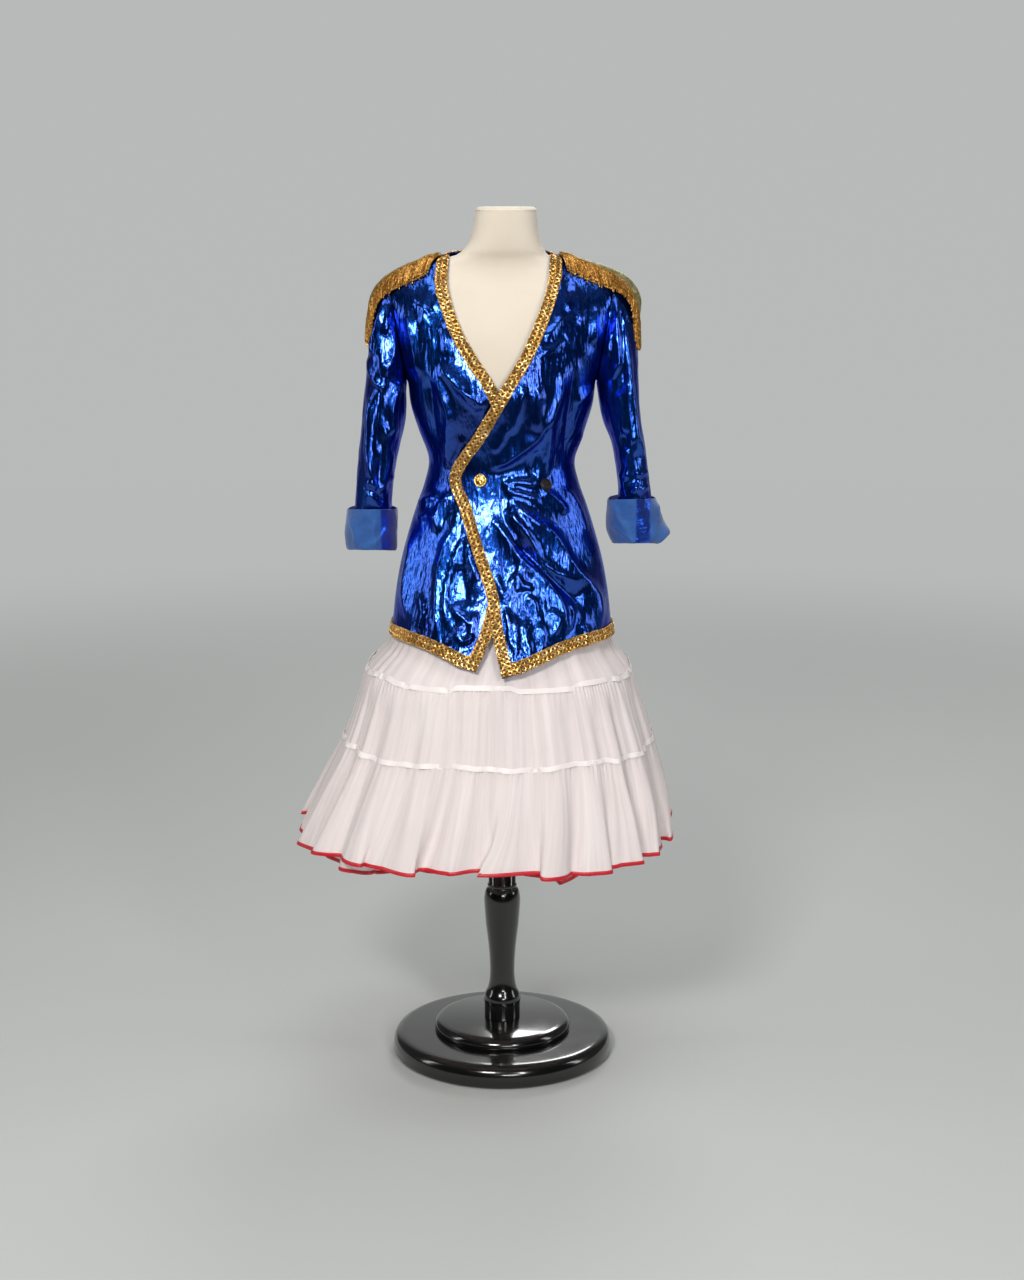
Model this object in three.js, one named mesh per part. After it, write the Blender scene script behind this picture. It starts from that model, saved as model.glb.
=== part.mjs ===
// A ringmaster costume on a dress form: a lame jacket with sequin braid and fringed epaulettes over a tiered
// net petticoat, worn by a limbless torso form on a turned stand. Millimetres, +Z up. The origin is the
// middle of the stand's underside, and the costume's front faces -Y. The wearer's left is at +X. The left
// front laps over the right one.
import * as THREE from "three";

// Cloth thicknesses and the gap left wherever two pieces are sewn together or lie on each other.
const LAME = 1.6;
const NET = 1.2;
const BRAID = 2.2;
const RIBBON = 1.0;
const SEAM = 0.4;

// Heights that drive the costume.
const SHOULDER_TIP_Z = 1334;
const ARMPIT_Z = 1165;
const HEM_BLEND_Z = 866;
const WAIST_SEAT_Z = 985;
const FORM_FOOT_Z = 705;

// Turns rows of numbers into rows with the named columns.
function table(columns, rows) {
  const names = columns.split(" ");
  return rows.map((row) => Object.fromEntries(row.map((value, i) => [names[i], value])));
}

// Reads a table at a value of its first column, on a smooth curve through its rows.
function smooth(rows, at) {
  const key = Object.keys(rows[0])[0];
  const last = rows.length - 1;
  const clamped = Math.min(Math.max(at, rows[0][key]), rows[last][key]);
  let i = 0;
  while (i < last - 1 && rows[i + 1][key] < clamped) i++;
  const [a, b] = [rows[i], rows[i + 1]];
  const before = rows[Math.max(i - 1, 0)];
  const after = rows[Math.min(i + 2, last)];
  const span = b[key] - a[key];
  const t = (clamped - a[key]) / span;
  const result = { [key]: clamped };
  for (const name of Object.keys(a).slice(1)) {
    const slopeA = (span * (b[name] - before[name])) / (b[key] - before[key]);
    const slopeB = (span * (after[name] - a[name])) / (after[key] - a[key]);
    const rise = b[name] - a[name];
    result[name] =
      a[name] + t * slopeA + t * t * (3 * rise - 2 * slopeA - slopeB)
      + t * t * t * (slopeA + slopeB - 2 * rise);
  }
  return result;
}

const mix = (from, to, share) => from + (to - from) * share;
const clamp = (value, low, high) => Math.min(Math.max(value, low), high);
const spread = (count, from, to) => Array.from({ length: count + 1 }, (_, i) => mix(from, to, i / count));

// Solids from grids of points. A grid is a list of rows, and every row has the same number of points.

// The unit normals of a grid, square to its rows and columns.
function gridNormals(rows, closed) {
  const wide = rows[0].length;
  const at = (j, i) => {
    const row = rows[clamp(j, 0, rows.length - 1)];
    return row[closed ? (i + wide) % wide : clamp(i, 0, wide - 1)];
  };
  return rows.map((row, j) =>
    row.map((_, i) => {
      const along = at(j, i + 1).clone().sub(at(j, i - 1));
      const across = at(j + 1, i).clone().sub(at(j - 1, i));
      return along.cross(across).normalize();
    }),
  );
}

const moved = (rows, normals, distance) =>
  rows.map((row, j) => row.map((point, i) => point.clone().addScaledVector(normals[j][i], distance)));

// A closed mesh between two matching grids. `keep` picks the cells that the piece covers.
function shell(outer, inner, closed = false, keep = () => true) {
  const high = outer.length;
  const wide = outer[0].length;
  const cellsAcross = closed ? wide : wide - 1;
  const has = (j, i) => {
    const column = closed ? (i + wide) % wide : i;
    return j >= 0 && j < high - 1 && column >= 0 && column < cellsAcross && keep(j, column);
  };
  const index = (layer, j, i) => layer * high * wide + j * wide + (i % wide);
  const faces = [];
  const quad = (a, b, c, d) => faces.push(a, b, c, a, c, d);
  for (let j = 0; j < high - 1; j++) {
    for (let i = 0; i < cellsAcross; i++) {
      if (!has(j, i)) continue;
      const corners = [[j, i], [j, i + 1], [j + 1, i + 1], [j + 1, i]];
      const [a, b, c, d] = corners.map(([row, column]) => index(0, row, column));
      const [e, f, g, h] = corners.map(([row, column]) => index(1, row, column));
      quad(a, b, c, d);
      quad(e, h, g, f);
      if (!has(j - 1, i)) quad(b, a, e, f);
      if (!has(j, i + 1)) quad(c, b, f, g);
      if (!has(j + 1, i)) quad(d, c, g, h);
      if (!has(j, i - 1)) quad(a, d, h, e);
    }
  }
  return outwards([...outer.flat(), ...inner.flat()], faces);
}

// A closed mesh through rings of points, with a flat cap at each end.
function loft(rings) {
  const wide = rings[0].length;
  const faces = [];
  for (let j = 0; j < rings.length - 1; j++) {
    for (let i = 0; i < wide; i++) {
      const [a, b] = [j * wide + i, j * wide + ((i + 1) % wide)];
      faces.push(a, b, b + wide, a, b + wide, a + wide);
    }
  }
  const top = (rings.length - 1) * wide;
  for (let i = 1; i < wide - 1; i++) faces.push(0, i + 1, i, top, top + i, top + i + 1);
  return outwards(rings.flat(), faces);
}

// A geometry whose faces point out, whichever way round they were listed.
function outwards(points, faces) {
  let volume = 0;
  for (let i = 0; i < faces.length; i += 3) {
    const [a, b, c] = [points[faces[i]], points[faces[i + 1]], points[faces[i + 2]]];
    volume += a.dot(b.clone().cross(c));
  }
  const order = volume < 0 ? faces.slice().reverse() : faces;
  const positions = new Float32Array(points.flatMap((point) => point.toArray()));
  const geometry = new THREE.BufferGeometry();
  geometry.setAttribute("position", new THREE.BufferAttribute(positions, 3));
  geometry.setIndex(order);
  geometry.computeVertexNormals();
  return geometry;
}

const costume = new THREE.Group();

function finish(color, roughness, metalness = 0) {
  return new THREE.MeshStandardMaterial({ color, roughness, metalness, side: THREE.FrontSide });
}

function add(name, geometry, material) {
  const mesh = new THREE.Mesh(geometry, material);
  mesh.name = name;
  costume.add(mesh);
  return mesh;
}

const JERSEY = finish(0xe6dccb, 0.9);
const BLACK_LACQUER = finish(0x0b0a0a, 0.15);
const BLUE_LAME = finish(0x0a2fb4, 0.3, 0.8);
const BLUE_LINING = finish(0x2a5aa8, 0.8);
const GOLD_SEQUINS = finish(0xd29a2e, 0.35, 0.9);
const OLIVE_LAME = finish(0x9a8f52, 0.45, 0.7);
const DARK_BUTTON = finish(0x2c2a2b, 0.4, 0.6);
const WHITE_NET = finish(0xefe3df, 0.85);
const WHITE_SATIN = finish(0xf6f1ee, 0.5);
const RED_SATIN = finish(0xc8202c, 0.45);

// The stand: three pieces of turned and lacquered wood, from the floor up to the underside of the form.
const BASE_RADIUS = 189.5;
const BASE_TOP_Z = 38;
const STEP_RADIUS = 118;
const STEP_TOP_Z = 58;
const LATHE_SIDES = 24;
const POST_SIDES = 16;

// Profiles are [radius, height] pairs that start and end on the axis.
function turned(profile, sides) {
  const outline = profile.map(([radius, height]) => new THREE.Vector2(radius, height));
  return new THREE.LatheGeometry(outline, sides).rotateX(Math.PI / 2);
}

add(
  "stand_base",
  turned(
    [[0, 0], [BASE_RADIUS - 4, 0], [BASE_RADIUS, 5], [BASE_RADIUS, 20], [BASE_RADIUS - 5, 31],
      [BASE_RADIUS - 16, BASE_TOP_Z], [0, BASE_TOP_Z]],
    LATHE_SIDES,
  ),
  BLACK_LACQUER,
);
add(
  "stand_step",
  turned(
    [[0, BASE_TOP_Z + SEAM], [STEP_RADIUS - 3, BASE_TOP_Z + SEAM], [STEP_RADIUS, 43], [STEP_RADIUS - 3, 52],
      [STEP_RADIUS - 11, STEP_TOP_Z], [0, STEP_TOP_Z]],
    LATHE_SIDES,
  ),
  BLACK_LACQUER,
);
add(
  "stand_post",
  turned(
    [[0, STEP_TOP_Z + SEAM], [31, STEP_TOP_Z + SEAM], [31, 87], [32, 94], [29, 104], [22.5, 122], [21.4, 142],
      [23.5, 186], [29, 232], [31.3, 272], [28, 291], [24, 299], [23, 312], [23, 340], [16, 352],
      [16, FORM_FOOT_Z - SEAM], [0, FORM_FOOT_Z - SEAM]],
    POST_SIDES,
  ),
  BLACK_LACQUER,
);

// The dress form: a jersey-covered torso and neck. Every section is a rounded oval, squarer than an ellipse.
// `half` is half the width, `front` and `back` are its depths either side of the widest line, `shift` moves
// it in X.
const SQUARENESS = 2.3;
const FORM_SIDES = 22;
const FORM_SECTIONS = table("z half front back shift", [
  [705, 146, 102, 102, 0],
  [745, 153, 109, 111, 0],
  [840, 153, 109, 111, 0],
  [900, 137, 97, 101, 0],
  [985, 112, 83, 86, 0],
  [1040, 107, 80, 76, 0],
  [1090, 117, 92, 79, 0],
  [1130, 128, 107, 84, 0],
  [1165, 134, 116, 88, 0],
  [1215, 140, 107, 90, 0],
  [1262, 150, 90, 86, 0],
  [1318, 165, 57, 62, 0],
  [1334, 163, 42, 47, 0],
  [1352, 138, 33, 42, 0],
  [1364, 101, 33, 47, 0],
  [1371, 76, 37, 51, 1],
  [1378, 68, 43, 54, 3],
  [1390, 60, 47, 56, 5],
  [1410, 54, 50, 54, 6],
  [1441, 49.5, 52, 50, 7],
  [1446, 47.5, 50, 48, 7],
  [1448.5, 44, 46, 44, 7],
]);

// A point of an oval section. Angle 0 is the wearer's left, and the front is at negative angles.
function ovalPoint(section, angle, z) {
  const [c, s] = [Math.cos(angle), Math.sin(angle)];
  const depth = s < 0 ? section.front : section.back;
  const power = 2 / SQUARENESS;
  return new THREE.Vector3(
    section.shift + section.half * Math.sign(c) * Math.abs(c) ** power,
    depth * Math.sign(s) * Math.abs(s) ** power,
    z,
  );
}

const ring = (section, sides, z) =>
  spread(sides, 0, 2 * Math.PI)
    .slice(0, sides)
    .map((angle) => ovalPoint(section, angle, z));

add("form_torso", loft(FORM_SECTIONS.map((section) => ring(section, FORM_SIDES, section.z))), JERSEY);

// The jacket's outer surface. The halves at the armholes are worked out from the armhole's own oval.
const ARMHOLE_HALF_DEPTH = 52;
const ARMPIT_X = 154;
const SHOULDER_TIP_X = 182;
const JACKET_SECTIONS = table("z half front back shift", [
  [690, 198, 212, 196, 0],
  [764, 184, 178, 168, 0],
  [815, 178, 158, 150, 0],
  [866, 169, 141, 133, 0],
  [915, 156, 126, 119, 0],
  [960, 142, 114, 107, 0],
  [1000, 128, 103, 97, 0],
  [1040, 121, 99, 88, 0],
  [1090, 138, 112, 91, 0],
  [1130, 150, 124, 96, 0],
  [1165, 154, 128, 100, 0],
  [1215, 162, 117, 101, 0],
  [1250, 168, 106, 98, 0],
  [1285, 174, 88, 88, 0],
  [1318, 179, 68, 73, 0],
  [1334, 182, 54, 60, 0],
  [1352, 144, 44, 56, -1],
  [1364, 113, 42, 60, -2],
  [1371, 87, 44, 62, -3],
]);

const armholeX = (z) => mix(ARMPIT_X, SHOULDER_TIP_X, (z - ARMPIT_Z) / (SHOULDER_TIP_Z - ARMPIT_Z));
const ARMHOLE_MIDDLE_Z = (ARMPIT_Z + SHOULDER_TIP_Z) / 2;
const ARMHOLE_HALF_HEIGHT = (SHOULDER_TIP_Z - ARMPIT_Z) / 2;

function armholeHalfDepth(z) {
  const height = (z - ARMHOLE_MIDDLE_Z) / ARMHOLE_HALF_HEIGHT;
  return ARMHOLE_HALF_DEPTH * Math.sqrt(Math.max(0, 1 - height * height));
}

// The jacket's section at a height, for the front (face -1) or the back (face 1).
function jacketSection(z, face, side = 1) {
  const section = smooth(JACKET_SECTIONS, z);
  section.shift *= side;
  if (z > ARMPIT_Z && z < SHOULDER_TIP_Z) {
    const depth = face < 0 ? section.front : section.back;
    const share = clamp(armholeHalfDepth(z) / depth, 0, 0.95);
    section.half = armholeX(z) / (1 - share ** SQUARENESS) ** (1 / SQUARENESS);
  }
  return section;
}

// The angle at which a section reaches a given X, and the angle of a seam on the widest line.
function angleAtX(section, x, face) {
  const share = clamp((x - section.shift) / section.half, -1, 1);
  return face * Math.acos(Math.sign(share) * Math.abs(share) ** (SQUARENESS / 2));
}

function seamAngle(section, face) {
  const depth = face < 0 ? section.front : section.back;
  return face * Math.asin((SEAM / 2 / depth) ** (SQUARENESS / 2));
}

function sideAngle(z, face, side = 1) {
  const section = jacketSection(z, face, side);
  const atArmhole = z > ARMPIT_Z && z < SHOULDER_TIP_Z;
  return atArmhole ? angleAtX(section, armholeX(z), face) : seamAngle(section, face);
}

// Soft folds, each a ridge (or a trough, with a negative height) along a line seen from the front. Both
// fronts share the first table, so that the layers lie together where they lap.
const FRONT_FOLDS = table("x0 z0 x1 z1 height width", [
  [58, 938, 120, 848, 8, 15],
  [120, 848, 150, 775, 6, 15],
  [66, 890, 120, 820, 6, 12],
  [52, 880, 104, 812, -6, 13],
  [45, 862, 88, 812, 6, 12],
  [72, 1000, 122, 950, 5, 12],
  [-140, 955, -78, 985, 6, 12],
  [-100, 945, -70, 760, 6, 18],
  [-62, 900, -64, 745, -4, 14],
  [-104, 1195, -92, 1085, 4, 12],
  [103, 1200, 84, 1085, 4, 12],
]);

const BACK_FOLDS = table("x0 z0 x1 z1 height width", [
  [-58, 1130, -50, 985, -4, 18],
  [55, 1140, 52, 985, -4, 18],
  [-70, 950, -96, 765, 7, 24],
  [64, 940, 84, 765, 7, 22],
  [4, 940, -6, 765, 6, 22],
  [-36, 900, -46, 765, -4, 18],
  [34, 890, 38, 765, -4, 18],
  [-66, 1262, -58, 1200, 4, 26],
  [62, 1258, 60, 1196, 4, 26],
]);

function foldHeight(folds, x, z) {
  let height = 0;
  for (const fold of folds) {
    const [dx, dz] = [fold.x1 - fold.x0, fold.z1 - fold.z0];
    const long = Math.hypot(dx, dz);
    const along = ((x - fold.x0) * dx + (z - fold.z0) * dz) / (long * long);
    const aside = ((x - fold.x0) * dz - (z - fold.z0) * dx) / long;
    const beyond = (Math.max(0, -along) + Math.max(0, along - 1)) * long;
    height += fold.height * Math.exp(-(aside * aside + beyond * beyond) / (fold.width * fold.width));
  }
  return height;
}

// Where each front's edge runs, from the tip of the hem to the neck point, in the front's own-side X.
const LEFT_EDGE = table("z x", [
  [711, 1], [784, -16], [839, -25], [892, -43], [965, -66], [1023, -83], [1100, -39], [1163, -3],
  [1223, 33], [1287, 61], [1334, 76], [1371, 78],
]);
const RIGHT_EDGE = table("z x", [
  [719, 41], [773, 16], [839, -2], [892, -18], [965, -34], [1023, -38], [1100, -18], [1172, 10],
  [1206, 33], [1260, 65], [1325, 87], [1371, 85],
]);

// The hem's height at the side seams, the middle of the back and the fronts' tips.
const SIDE_HEM_Z = 746;
const BACK_HEM_Z = 742;
const LEFT_TIP_Z = 711;
const RIGHT_TIP_Z = 719;
const BRAID_WIDTH = 19;

// Heights of the panels' rows above the hem's own blend.
const LOW_ROWS = [0, null, 0.5, 1];
const HIGH_ROWS = [
  915, 960, 1000, 1040, 1090, 1130, 1165, 1180,
  1215, 1250, 1285, 1318, 1334, 1352, 1364, 1371,
];

// How far the left front is lifted where it laps over the right one and its braid.
const LAP_LIFT = 6.4;
const lapLift = (x) => LAP_LIFT * clamp((100 - x) / 40, 0, 1);

// The heights of one column of a panel, from its hem up. The second row is the top of the hem's braid.
function columnHeights(hemZ) {
  const low = LOW_ROWS.map((share) =>
    share === null ? hemZ + BRAID_WIDTH : mix(hemZ, HEM_BLEND_Z, share),
  );
  return [...low, ...HIGH_ROWS];
}

// One front: a grid from the side seam to the front edge. The last column but one is the braid's inner edge.
const FRONT_CELLS = 8;

function frontPanel({ side, edge, tipZ, lift }) {
  const hem = (share) => SIDE_HEM_Z + 6 * Math.sin(Math.PI * share) - (SIDE_HEM_Z - tipZ) * share ** 4;
  const heights = spread(FRONT_CELLS, 0, 1).map((share) => columnHeights(hem(share)));
  heights.push(columnHeights(tipZ));
  heights[FRONT_CELLS] = columnHeights(tipZ + 5);
  return heights[0].map((_, j) =>
    heights.map((column, i) => {
      const z = column[j];
      const section = jacketSection(z, -1, side);
      const edgeX = smooth(edge, z).x;
      const slope = Math.abs(smooth(edge, z + 10).x - smooth(edge, z - 10).x) / 20;
      const braidX = edgeX + BRAID_WIDTH * Math.hypot(1, Math.min(slope, 0.7));
      const stop = angleAtX(section, Math.min(braidX, section.half + section.shift - 4), -1);
      const angle =
        i <= FRONT_CELLS ? mix(sideAngle(z, -1, side), stop, i / FRONT_CELLS) : angleAtX(section, edgeX, -1);
      const point = ovalPoint(section, angle, z);
      point.x *= side;
      point.y -= clamp(i / 2, 0, 1) * (foldHeight(FRONT_FOLDS, point.x, z) + lift(point.x));
      return point;
    }),
  );
}

// Normals that point out of the garment and lie in the plane Y = 0 along the side and shoulder seams.
function jacketNormals(grid, seamColumns) {
  const normals = gridNormals(grid, false);
  const middle = normals[8][Math.floor(grid[0].length / 2)];
  const outward = grid[8][Math.floor(grid[0].length / 2)];
  const flip = middle.x * outward.x + middle.y * outward.y < 0;
  for (const row of normals) {
    for (const normal of row) if (flip) normal.negate();
  }
  grid.forEach((row, j) => {
    for (const column of seamColumns) {
      if (Math.abs(row[column].y) < 1) normals[j][column].setY(0).normalize();
    }
  });
  return normals;
}

const wallOf = (grid, normals, thick, closed) => shell(grid, moved(grid, normals, -thick), closed);

function braidOn(grid, normals, keep) {
  return shell(moved(grid, normals, SEAM + BRAID), moved(grid, normals, SEAM), false, keep);
}

const leftFront = frontPanel({ side: 1, edge: LEFT_EDGE, tipZ: LEFT_TIP_Z, lift: lapLift });
const rightFront = frontPanel({ side: -1, edge: RIGHT_EDGE, tipZ: RIGHT_TIP_Z, lift: () => 0 });
for (const [name, grid] of [["left", leftFront], ["right", rightFront]]) {
  const normals = jacketNormals(grid, [0]);
  const edgeColumn = grid[0].length - 2;
  add(`jacket_front_${name}`, wallOf(grid, normals, LAME, false), BLUE_LAME);
  add(`braid_front_${name}`, braidOn(grid, normals, (j, i) => i === edgeColumn || j === 0), GOLD_SEQUINS);
}

// The back: one panel from side seam to side seam, with its braid along the hem and the neck.
const BACK_CELLS = 13;
const BACK_NECK_RISE = 6;
const backPanel = columnHeights(BACK_HEM_Z).map((_, j) =>
  spread(BACK_CELLS, 0, 1).map((share) => {
    const middle = Math.sin(Math.PI * share);
    const heights = columnHeights(mix(SIDE_HEM_Z, BACK_HEM_Z, middle));
    const topRow = j === heights.length - 1;
    const z = heights[j];
    const section = jacketSection(z, 1);
    const start = sideAngle(z, 1);
    const point = ovalPoint(section, mix(start, Math.PI - start, share), z);
    point.y += clamp(3.5 * middle - 0.6, 0, 1) * foldHeight(BACK_FOLDS, point.x, z);
    if (topRow) point.z += BACK_NECK_RISE * middle;
    return point;
  }),
);
const backNormals = jacketNormals(backPanel, [0, BACK_CELLS]);
add("jacket_back", wallOf(backPanel, backNormals, LAME, false), BLUE_LAME);
add("braid_back_hem", braidOn(backPanel, backNormals, (j) => j === 0), GOLD_SEQUINS);
add("braid_back_neck", braidOn(backPanel, backNormals, (j) => j === backPanel.length - 2), GOLD_SEQUINS);

// The sleeves hang empty and flat. Each row is an oval ring from its outer to its inner point, in own-side X,
// with long soft folds of the height `crease` down it.
const SLEEVE_SIDES = 18;
const SLEEVE_FOLDS = 3;
const LEFT_SLEEVE = table("s outX outZ inX inZ depth y crease", [
  [0, 183.8, 1334, 155.8, 1165, 52, 0, 0],
  [1, 198, 1322, 158, 1150, 57, 0, 0],
  [2, 213, 1296, 160, 1135, 62, -1, 1],
  [3, 221, 1255, 164, 1115, 64, -3, 3],
  [4, 224, 1200, 172, 1090, 64, -5, 4],
  [5, 227, 1132, 183, 1060, 60, -8, 4],
  [6, 235, 1067, 191, 1015, 57, -12, 4],
  [7, 243, 1015, 193, 970, 54, -15, 3],
  [8, 250, 960, 189, 932, 50, -17, 1],
  [9, 254, 900, 192, 900, 46, -18, 0],
]);
const RIGHT_SLEEVE = table("s outX outZ inX inZ depth y crease", [
  [0, 183.8, 1334, 155.8, 1165, 52, 0, 0],
  [1, 196, 1320, 157, 1150, 58, 0, 0],
  [2, 208, 1292, 157, 1135, 64, -1, 1],
  [3, 215, 1250, 158, 1115, 68, -3, 3],
  [4, 220, 1200, 161, 1090, 70, -5, 4],
  [5, 227, 1140, 168, 1060, 66, -8, 4],
  [6, 232, 1085, 178, 1015, 60, -12, 4],
  [7, 238, 1030, 182, 970, 55, -15, 3],
  [8, 243, 968, 182, 925, 48, -17, 1],
  [9, 249, 889, 183, 889, 42, -18, 0],
]);

function sleeveRing(row, side) {
  const outer = new THREE.Vector3(row.outX, row.y, row.outZ);
  const inner = new THREE.Vector3(row.inX, row.y, row.inZ);
  const middle = outer.clone().lerp(inner, 0.5);
  const reach = outer.clone().sub(middle);
  return spread(SLEEVE_SIDES, 0, 2 * Math.PI)
    .slice(0, SLEEVE_SIDES)
    .map((angle) => {
      const fold = (row.crease / row.depth) * Math.sin(2 * SLEEVE_FOLDS * angle) * Math.abs(Math.sin(angle));
      const point = middle.clone().addScaledVector(reach, Math.cos(angle));
      point.y -= row.depth * Math.sin(angle) * (1 + fold);
      point.x *= side;
      return point;
    });
}

function outwardNormals(grid, closed) {
  const normals = gridNormals(grid, closed);
  const row = Math.floor(grid.length / 2);
  const middle = grid[row].reduce((sum, point) => sum.add(point), new THREE.Vector3());
  middle.divideScalar(grid[row].length);
  const flip = normals[row][0].dot(grid[row][0].clone().sub(middle)) < 0;
  if (flip) for (const normal of normals.flat()) normal.negate();
  return normals;
}

// The sleeve's end is turned back into a cuff, which stands off the sleeve and flares. Rows run from its top
// down.
const LEFT_CUFF = table("outX outZ inX inZ depth y crease", [
  [254, 974, 176, 972, 58, -16, 0],
  [276, 932, 174, 926, 54, -17, 0],
  [268, 902, 184, 900, 49, -18, 0],
  [256.4, 898.7, 189.6, 898.7, 48.3, -18, 0],
]);
const RIGHT_CUFF = table("outX outZ inX inZ depth y crease", [
  [255, 956, 174.5, 956, 55, -17, 0],
  [260, 922, 174, 922, 50, -18, 0],
  [257, 890, 176, 888, 46, -18, 0],
  [251.4, 887.2, 180.6, 887.2, 44.3, -18, 0],
]);

for (const [name, side, sleeveRows, cuffRows] of [
  ["left", 1, LEFT_SLEEVE, LEFT_CUFF],
  ["right", -1, RIGHT_SLEEVE, RIGHT_CUFF],
]) {
  const sleeve = sleeveRows.map((row) => sleeveRing(row, side));
  add(`sleeve_${name}`, wallOf(sleeve, outwardNormals(sleeve, true), LAME, true), BLUE_LAME);
  const cuff = cuffRows.map((row) => sleeveRing(row, side));
  add(`cuff_${name}`, wallOf(cuff, outwardNormals(cuff, true), LAME, true), BLUE_LINING);
}

// Buttons: a domed disc on the left front, turned to face out of the cloth.
const BUTTON_RADIUS = 10.5;
const BUTTON_PROFILE = [
  [0, 0], [BUTTON_RADIUS - 1.5, 0], [BUTTON_RADIUS, 1.5], [BUTTON_RADIUS - 1, 3], [0, 4.6],
];
const BUTTONS = table("x z standoff", [
  [-34, 1016, 1.8],
  [70, 1007, 3],
]);

function leftFrontPoint(x, z) {
  const section = jacketSection(z, -1);
  const point = ovalPoint(section, angleAtX(section, x, -1), z);
  point.y -= foldHeight(FRONT_FOLDS, x, z) + lapLift(x);
  return point;
}

function button(name, { x, z, standoff }, material) {
  const seat = leftFrontPoint(x, z);
  const across = leftFrontPoint(x + 9, z).sub(leftFrontPoint(x - 9, z));
  const up = leftFrontPoint(x, z + 9).sub(leftFrontPoint(x, z - 9));
  const out = across.cross(up).normalize();
  const turn = new THREE.Quaternion().setFromUnitVectors(new THREE.Vector3(0, 0, 1), out);
  const mesh = add(name, turned(BUTTON_PROFILE, 16).applyQuaternion(turn), material);
  mesh.position.copy(seat).addScaledVector(out, standoff);
}

button("button_gold", BUTTONS[0], GOLD_SEQUINS);
button("button_dark", BUTTONS[1], DARK_BUTTON);

// Epaulettes. Each rides on a ridge line along the shoulder and down the sleeve head, in own-side X.
// `drop` is how far the cloth falls away in front of that line, at the armhole's half depth.
const EPAULETTE_THICK = 2.6;
const PAD_FRONT = -12;
const PAD_BACK = 32;
const LEFT_RIDGE = table("s x z drop", [
  [0, 92, 1372, 30],
  [22, 107, 1370, 38],
  [58, 143, 1358, 42],
  [100, 181, 1340.5, 38],
  [130, 204.5, 1321, 26],
  [157, 217.5, 1298, 20],
  [183, 222.4, 1272, 18],
  [211, 224, 1245, 18],
  [240, 225, 1216, 18],
]);
const RIGHT_RIDGE = table("s x z drop", [
  [0, 96, 1371, 30],
  [27, 122, 1366, 38],
  [66, 158, 1352, 42],
  [106, 191, 1331, 34],
  [134, 209, 1307, 24],
  [163, 216, 1277, 18],
  [191, 219, 1249, 18],
  [215, 220, 1224, 18],
]);

// A point over the shoulder, `s` along the ridge line, `y` across it and `lift` above it. Near the neck it
// also clears the braid.
function overShoulder(ridge, s, y, lift, side) {
  const at = smooth(ridge, s);
  const ahead = smooth(ridge, s + 4);
  const behind = smooth(ridge, s - 4);
  const [dx, dz] = [ahead.x - behind.x, ahead.z - behind.z];
  const long = Math.hypot(dx, dz);
  const depth = y < 0 ? ARMHOLE_HALF_DEPTH : ARMHOLE_HALF_DEPTH + 9;
  const nape = y < 0 ? 1 : mix(0.1, 1, clamp(s / 60, 0, 1));
  const overBraid = (BRAID + SEAM) * clamp((40 - s) / 14, 0, 1);
  const out = lift + overBraid - nape * at.drop * Math.abs(y / depth) ** 2.1;
  return new THREE.Vector3(side * (at.x - (dz / long) * out), y, at.z + (dx / long) * out);
}

// The fringe's roots run along the pad's front edge, round its outer end and back along its other edge.
const STRANDS_ALONG = 14;
const STRANDS_ACROSS = 7;
const STRAND_REACH = [0.6, 5, 20, 34];

function fringeRoots(padEnd) {
  const roots = [];
  const cells = 2 * STRANDS_ALONG;
  for (const s of spread(cells, 10, padEnd - 3)) roots.push({ s, y: PAD_FRONT, ds: 0.45, dy: -1 });
  const across = 2 * STRANDS_ACROSS;
  for (const y of spread(across, PAD_FRONT + 2, PAD_BACK - 2)) {
    roots.push({ s: padEnd, y, ds: 1, dy: (y - (PAD_FRONT + PAD_BACK) / 2) / 70 });
  }
  for (const s of spread(cells, padEnd - 3, 10)) roots.push({ s, y: PAD_BACK, ds: 0.35, dy: 0.9 });
  return roots;
}

for (const [name, side, ridge, padEnd] of [["left", 1, LEFT_RIDGE, 190], ["right", -1, RIGHT_RIDGE, 172]]) {
  const pad = spread(8, 4, padEnd - 3).map((s) =>
    spread(4, PAD_FRONT, PAD_BACK).map((y) => overShoulder(ridge, s, y, EPAULETTE_THICK, side)),
  );
  const padNormals = gridNormals(pad, false);
  if (padNormals[1][2].z < 0) for (const normal of padNormals.flat()) normal.negate();
  add(`epaulette_pad_${name}`, wallOf(pad, padNormals, EPAULETTE_THICK, false), OLIVE_LAME);

  const roots = fringeRoots(padEnd);
  const fringeRows = (lift) =>
    STRAND_REACH.map((reach, j) =>
      roots.map(({ s, y, ds, dy }) => {
        const long = reach * (j === 3 ? 1 + 0.12 * Math.sin(s * 1.9 + y) : 1);
        return overShoulder(ridge, s + ds * long, y + dy * long, lift + j * 0.4, side);
      }),
    );
  const strands = (j, i) => j === 0 || i % 2 === 0;
  const fringe = shell(fringeRows(EPAULETTE_THICK - 0.3), fringeRows(0.4), false, strands);
  add(`epaulette_fringe_${name}`, fringe, GOLD_SEQUINS);
}

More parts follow.
